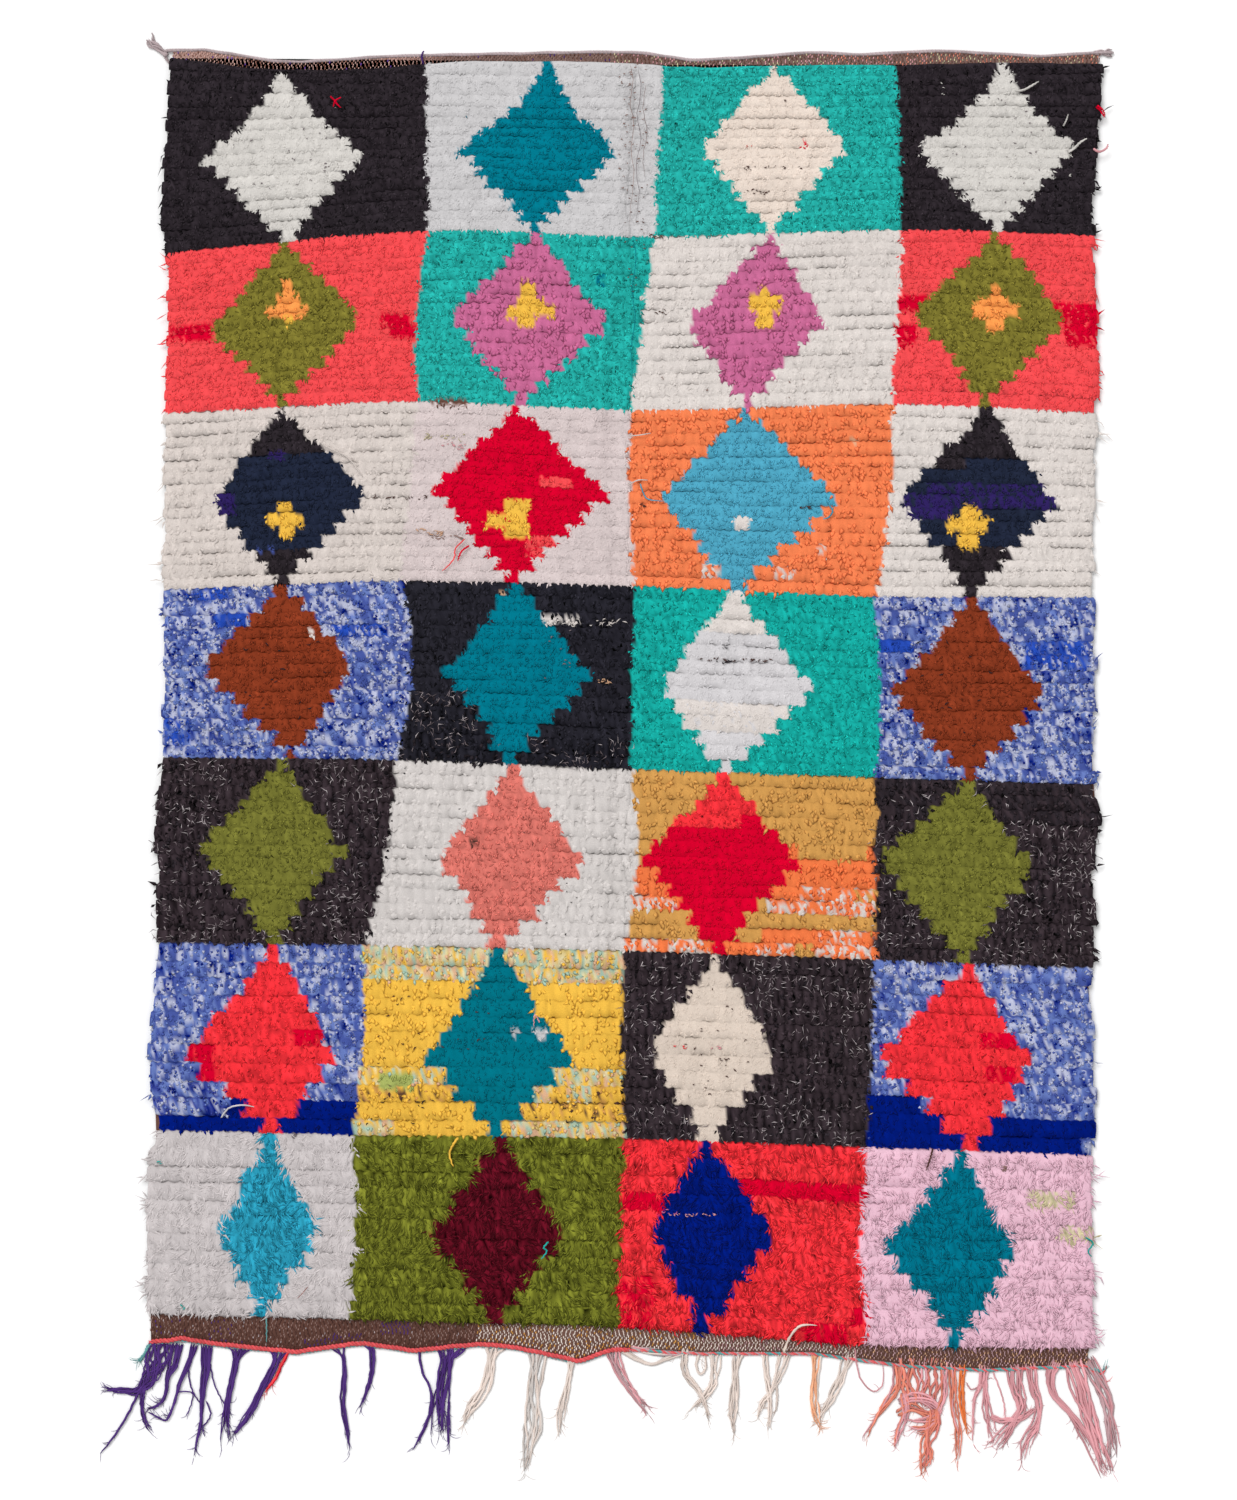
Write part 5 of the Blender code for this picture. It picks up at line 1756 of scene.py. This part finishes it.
def bundleYarns(bundle, rng, height):
    # yarns side by side over the bundle's width that cross over each other as they go
    route = np.array([fromPhoto(*point[:2]) for point in bundle["route"]])
    widths = np.array([point[2] if len(point) > 2 else 1 for point in bundle["route"]]) * metresPerPixel
    number = bundle["count"]
    stops = yarnForm["stops"]
    ends = rng.uniform(*yarnForm["endsAt"], number)
    ends[0] = 1.0
    t = np.linspace(0, 1, 81)
    centre = routeCurve(route, len(t))
    wide = np.interp(t, np.linspace(0, 1, len(widths)), widths)
    along = np.gradient(centre, axis=0)
    along /= np.linalg.norm(along, axis=1, keepdims=True)
    across = np.stack([-along[:, 1], along[:, 0]], axis=-1)
    place = (np.arange(number) + 0.5) / number * 2 - 1 + rng.normal(0, 0.06, number)
    own = np.linspace(0, 1, stops)[None, :] * ends[:, None]
    phase = rng.random((number, 2))
    cross = bundle.get("cross", yarnForm["cross"][0 if number > 2 else 1])
    weaving = np.sin(2 * math.pi * (own * (0.6 + 1.2 * phase[:, :1]) + phase[:, 1:]))
    shift = place[:, None] + cross * weaving * np.clip(own * 4, 0, 1)
    size = yarnForm["width"] * bundle.get("full", yarnForm["full"]) * rng.uniform(*yarnForm["vary"], number)
    if number == 1:
        size *= 0.75
    room = np.interp(own, t, wide) / 2 - size[:, None] / 2
    offset = np.clip(shift, -yarnForm["out"], yarnForm["out"]) * np.maximum(room, 0)
    paths = np.zeros((number, stops, 3))
    for axis in range(2):
        paths[..., axis] = np.interp(own, t, centre[:, axis]) + offset * np.interp(own, t, across[:, axis])
    paths[..., 0] += yarnForm["wobble"] * np.sin(2 * math.pi * (own * 7 + phase[:, :1]))
    taper = np.interp(np.linspace(0, 1, stops)[1:-1], [0, 0.08, 0.75, 1], [1, 1, 0.9, 0.4])
    half = size[:, None] / 2 * taper
    layer = 0.5 + 0.5 * np.sin(2 * math.pi * (own * 1.6 + phase[:, 1:]))
    crowd = np.clip(number * yarnForm["width"] / np.interp(own, t, wide), 0.3, 2.2)
    lowest = np.maximum(yarnForm["lowest"], 0.44 * size)[:, None]
    paths[..., 2] = height + lowest + yarnForm["layer"] * layer * crowd
    names = bundle["yarns"].split()
    pick = rng.integers(0, len(names), number)
    base = np.array([yarnColours[yarn(n)] for n in names])[pick]
    tone = 1 + rng.normal(0, yarnForm["tone"], number)
    # painted shade and light: a yarn is darker at its root, where it leaves the weave, darker where it lies
    # low under the others and lighter where it lies on top
    shade = np.interp(np.linspace(0, 1, stops), [0, 0.1, 1], [0.72, 0.98, 1.0])
    colours = base[:, None] * (tone[:, None] * shade * (0.86 + 0.2 * layer))[..., None]
    return paths, half, colours


def frayHairs(paths, colours, rng, height):
    # fine fibres that leave a yarn near its end and wander off
    count = len(paths) * yarnForm["frays"]
    source = np.repeat(np.arange(len(paths)), yarnForm["frays"])
    start = rng.integers(paths.shape[1] * 2 // 3, paths.shape[1], count)
    origin = paths[source, start]
    aim = (paths[:, -1] - paths[:, -4])[source, :2]
    aim /= np.linalg.norm(aim, axis=1, keepdims=True) + 1e-9
    angle = rng.normal(0, 0.35, count)
    heading = np.arctan2(aim[:, 1], aim[:, 0]) + angle
    length = rng.uniform(*yarnForm["hairLength"], count)
    s = np.linspace(0, 1, yarnForm["hairStops"])
    bend = rng.normal(0, 0.5, count)
    turned = heading[:, None] + bend[:, None] * s
    hairs = np.zeros((count, len(s), 3))
    hairs[..., 0] = origin[:, :1] + np.cos(turned) * length[:, None] * s
    hairs[..., 1] = origin[:, 1:2] + np.sin(turned) * length[:, None] * s
    hairs[..., 2] = height + yarnForm["hairHeight"] - 0.0004 * s
    half = np.full((count, len(s) - 2), yarnForm["hairWidth"] / 2) * np.linspace(1.0, 0.6, len(s) - 2)
    tones = colours[source, -2][:, None] * np.ones((1, len(s), 1)) * 1.05
    return hairs, half, tones


def keepInBox(paths):
    # nothing strays past the box that the solids fill
    low = np.array(cadBox[0][:2]) - weavingMiddle[:2] - 0.003
    high = np.array(cadBox[1][:2]) - weavingMiddle[:2] + 0.003
    paths[..., :2] = np.clip(paths[..., :2], low, high)
    return paths


def makeYarns(name, bundles, seed, replaced=None, height=0.0):
    rng = np.random.default_rng(seed)
    sets = [bundleYarns(bundle, rng, bundle.get("height", height)) for bundle in bundles]
    paths, half, colours = (np.concatenate(parts) for parts in zip(*sets))
    shape = keepInBox(paths), half, half * 0.85, yarnForm["sides"], colours
    addPiece(strandPiece(name + "_yarns", *shape, finishes["fringe"]), replaced)
    if replaced:
        hairs, hairHalf, tones = frayHairs(paths, colours, rng, height)
        shape = keepInBox(hairs), hairHalf, hairHalf, 3, tones
        addPiece(strandPiece(name + "_fray", *shape, finishes["fringe"]))
    print(f"rug: {name} has {len(paths)} yarns")


for number, (name, bundles) in enumerate(fringe.items()):
    makeYarns(name, table(bundleColumns, bundles), 61 + number, replaced=name)

# the frayed ends of the head cord, and stray yarns that lie over the pile, at a height in metres
tufts = [
    ("mauve", 7, [(168, 56, 5), (160, 50, 6), (154, 44, 11), (147, 38, 16)]),
    ("mauve purple", 2, [(164, 50, 3), (166, 58, 4), (172, 66, 3)]),
    ("mauve", 5, [(1094, 54, 6), (1102, 53, 7), (1108, 53, 8), (1113, 54, 8)]),
]
strays = [
    ("cream", 2, 0.015, [
        (783, 1352, 3), (788, 1338, 3), (797, 1326, 3), (806, 1323, 3), (817, 1324, 2),
    ]),
    ("yellow", 2, 0.0165, [(459, 1136, 3), (454, 1143, 3), (450, 1153, 2), (454, 1166, 2)]),
    ("silver", 2, 0.016, [(1014, 93, 2), (1022, 92, 2), (1030, 88, 2), (1038, 83, 1)]),
    ("silver", 2, 0.016, [(1066, 154, 5), (1073, 150, 3), (1079, 144, 3), (1086, 140, 2)]),
    ("silver", 1, 0.016, [(1062, 128), (1065, 122), (1067, 116)]),
    ("crimson", 1, 0.016, [(331, 98, 2), (335, 102, 2), (338, 106, 2), (342, 110, 1)]),
    ("crimson", 3, 0.012, [(1096, 107, 5), (1100, 112, 5), (1104, 119, 4)]),
    ("crimson rose", 2, 0.012, [(1092, 150, 3), (1098, 153, 3), (1105, 150, 2), (1107, 145, 1)]),
    ("pinkWhite", 1, 0.016, [(628, 437), (640, 436), (651, 434)]),
    ("pinkWhite", 1, 0.016, [(628, 486), (638, 481), (648, 481)]),
    ("sky", 1, 0.016, [(640, 484), (643, 493), (648, 500), (664, 502)]),
    ("sky", 1, 0.016, [(828, 505), (832, 512), (828, 518), (822, 520)]),
    ("rose", 1, 0.016, [(540, 1022), (535, 1014), (534, 1026)]),
    ("jade", 1, 0.016, [(549, 1240), (544, 1246), (547, 1250), (541, 1258)]),
    ("crimson", 1, 0.016, [(342, 99), (336, 103), (334, 109)]),
    ("jade", 1, 0.012, [(1084, 1236), (1092, 1242), (1087, 1250), (1091, 1256)]),
    ("lilacWhite", 1, 0.016, [(222, 1117), (230, 1107), (243, 1104), (256, 1106)]),
    ("coral", 1, 0.016, [(466, 539), (456, 549), (455, 558), (449, 566), (442, 572)]),
    ("crimson", 1, 0.016, [(470, 546), (462, 552), (458, 562)]),
    ("pinkWhite", 1, 0.016, [(322, 445), (336, 452), (350, 460), (364, 478)]),
    ("brown", 1, 0.016, [(932, 1147), (929, 1158), (925, 1170)]),
    ("purple", 2, 0.0075, [(424, 52, 2), (422, 58, 3), (424, 66, 2)], 0.7),
    ("rust", 1, 0.016, [(309, 1285), (303, 1292), (298, 1297)], 0.4),
    ("taupe", 1, 0.013, [
        (630, 64), (633, 84), (630, 104), (634, 126), (631, 150), (634, 176), (631, 204), (629, 230),
    ], 0.38),
    ("ashGrey", 1, 0.013, [
        (638, 70), (641, 92), (637, 118), (641, 140), (636, 168), (639, 196), (635, 226),
    ], 0.38),
    ("earth", 1, 0.013, [(646, 86), (643, 110), (647, 134), (643, 158), (645, 180)], 0.34),
    ("deepTeal", 1, 0.013, [
        (633, 238), (636, 262), (632, 290), (635, 320), (631, 350), (633, 380),
    ], 0.38),
    ("greyTeal", 1, 0.006, [(266, 1308), (267, 1322), (267, 1342)]),
]
makeYarns("head_tufts", table(bundleColumns, tufts), 81)
makeYarns("stray", table("yarns count height route full", strays), 83)


# small loose threads that lie along the rows, in the photograph's pixels: the middle and the
# size of the place that they are strewn over, their yarn, their number and their length
flecks = table(
    "x y wide tall yarn count length",
    [
        (774, 169, 60, 4, "brown", 12, 2.6), (757, 193, 24, 5, "brown", 12, 3.0),
        (786, 102, 3, 3, "brown", 2, 3.0), (774, 70, 5, 4, "brown", 3, 3.0),
        (715, 166, 3, 3, "brown", 2, 3.0), (749, 148, 6, 2, "salmon", 3, 3.0),
        (731, 660, 84, 3, "brown", 22, 3.6), (727, 661, 24, 3, "black", 8, 4.0),
        (722, 648, 12, 2, "black", 4, 3.0), (588, 623, 76, 5, "warmWhite", 26, 5.0),
        (604, 682, 26, 3, "peach", 9, 4.0), (560, 652, 30, 60, "ashGrey", 10, 3.0),
        (808, 508, 18, 3, "brown", 7, 4.0), (646, 506, 14, 3, "brown", 4, 4.0),
        (400, 498, 60, 3, "brown", 12, 5.0), (446, 538, 36, 4, "taupe", 12, 5.0),
        (445, 438, 40, 5, "khaki", 12, 5.0), (458, 446, 30, 6, "rose", 9, 4.0),
        (430, 533, 26, 5, "peach", 10, 5.0), (716, 1047, 10, 3, "rose", 5, 4.0),
        (680, 1045, 12, 3, "coral", 4, 4.0), (690, 1213, 50, 3, "rose", 16, 3.4),
        (668, 1212, 14, 6, "orchid", 5, 4.0), (656, 238, 14, 3, "earth", 8, 5.0),
        (661, 313, 10, 3, "brown", 5, 4.0), (757, 388, 220, 24, "taupe", 12, 2.2),
        (633, 128, 28, 130, "taupe", 56, 2.6), (636, 240, 24, 110, "earth", 26, 2.6),
        (942, 94, 3, 20, "silver", 4, 3.0), (955, 195, 3, 3, "silver", 2, 3.0),
        (1068, 177, 3, 3, "silver", 2, 3.0), (1012, 75, 3, 3, "silver", 2, 3.0),
        (160, 1161, 4, 3, "jade", 4, 3.4), (183, 1305, 4, 4, "jade", 5, 3.4),
        (296, 1134, 6, 4, "ashGrey", 5, 3.4), (468, 118, 3, 3, "teal", 2, 3.0),
        (1003, 1168, 6, 5, "taupe", 12, 3.0), (500, 800, 220, 120, "blueBlack", 12, 2.2),
        (570, 905, 70, 60, "black", 8, 2.6), (290, 690, 90, 110, "black", 26, 4.5),
        (960, 690, 100, 110, "black", 18, 4.5), (720, 1040, 70, 110, "brown", 26, 3.4),
        (285, 150, 110, 110, "ashGrey", 30, 2.6), (995, 150, 110, 110, "ashGrey", 30, 2.6),
        (430, 1030, 120, 70, "brown", 26, 3.6), (590, 1110, 60, 24, "black", 14, 3.4),
        (400, 1110, 110, 30, "black", 24, 3.4),
    ],
)
fleckForm = {"height": 0.0142, "arch": 0.0010, "half": 0.0010, "turn": 0.45, "bend": 0.2, "seed": 97}


def makeFlecks():
    # each is a thin spindle just over the pile, nearly level with the rows and a little bent
    rng = np.random.default_rng(fleckForm["seed"])
    spots = np.repeat(np.arange(len(flecks)), [fleck["count"] for fleck in flecks])
    count = len(spots)
    at = np.array([fromPhoto(fleck["x"], fleck["y"]) for fleck in flecks])[spots]
    size = np.array([(fleck["wide"], fleck["tall"]) for fleck in flecks])[spots] * metresPerPixel
    middle = at + size * rng.uniform(-0.5, 0.5, (count, 2))
    length = np.array([fleck["length"] for fleck in flecks])[spots] * metresPerPixel
    length *= rng.uniform(0.5, 1.5, count)
    turn = rng.normal(0, fleckForm["turn"], count)
    paths = np.zeros((count, 4, 3))
    bend = rng.normal(0, fleckForm["bend"], count) * length
    for stop, (share, arch) in enumerate(((-0.5, 0.0), (-0.17, 1.0), (0.17, 1.0), (0.5, 0.0))):
        paths[:, stop, 0] = middle[:, 0] + np.cos(turn) * length * share - np.sin(turn) * bend * arch
        paths[:, stop, 1] = middle[:, 1] + np.sin(turn) * length * share + np.cos(turn) * bend * arch
        paths[:, stop, 2] = fleckForm["height"] + fleckForm["arch"] * arch
    base = np.array([yarnColours[yarn(fleck["yarn"])] for fleck in flecks])[spots]
    colours = base[:, None] * np.ones((1, 4, 1))
    half = np.full((count, 2), fleckForm["half"]) * rng.uniform(0.6, 1.2, (count, 1))
    addPiece(strandPiece("flecks", paths, half, half * 0.7, 3, colours, finishes["fringe"]))
    print(f"rug: flecks has {count} threads")


makeFlecks()


def settle():
    # the pattern's own middle moves to the middle of the weaving, in every new mesh
    for mesh in (piece.data for piece in made):
        points = np.empty(len(mesh.vertices) * 3, np.float32)
        mesh.vertices.foreach_get("co", points)
        points = points.reshape(-1, 3) + weavingMiddle.astype(np.float32)
        mesh.vertices.foreach_set("co", points.ravel())
        mesh.update()


settle()
print("rug: all pieces settled")

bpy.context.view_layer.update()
triangles = sum(len(polygon.vertices) - 2 for piece in made for polygon in piece.data.polygons)
print("rug: triangles", triangles)
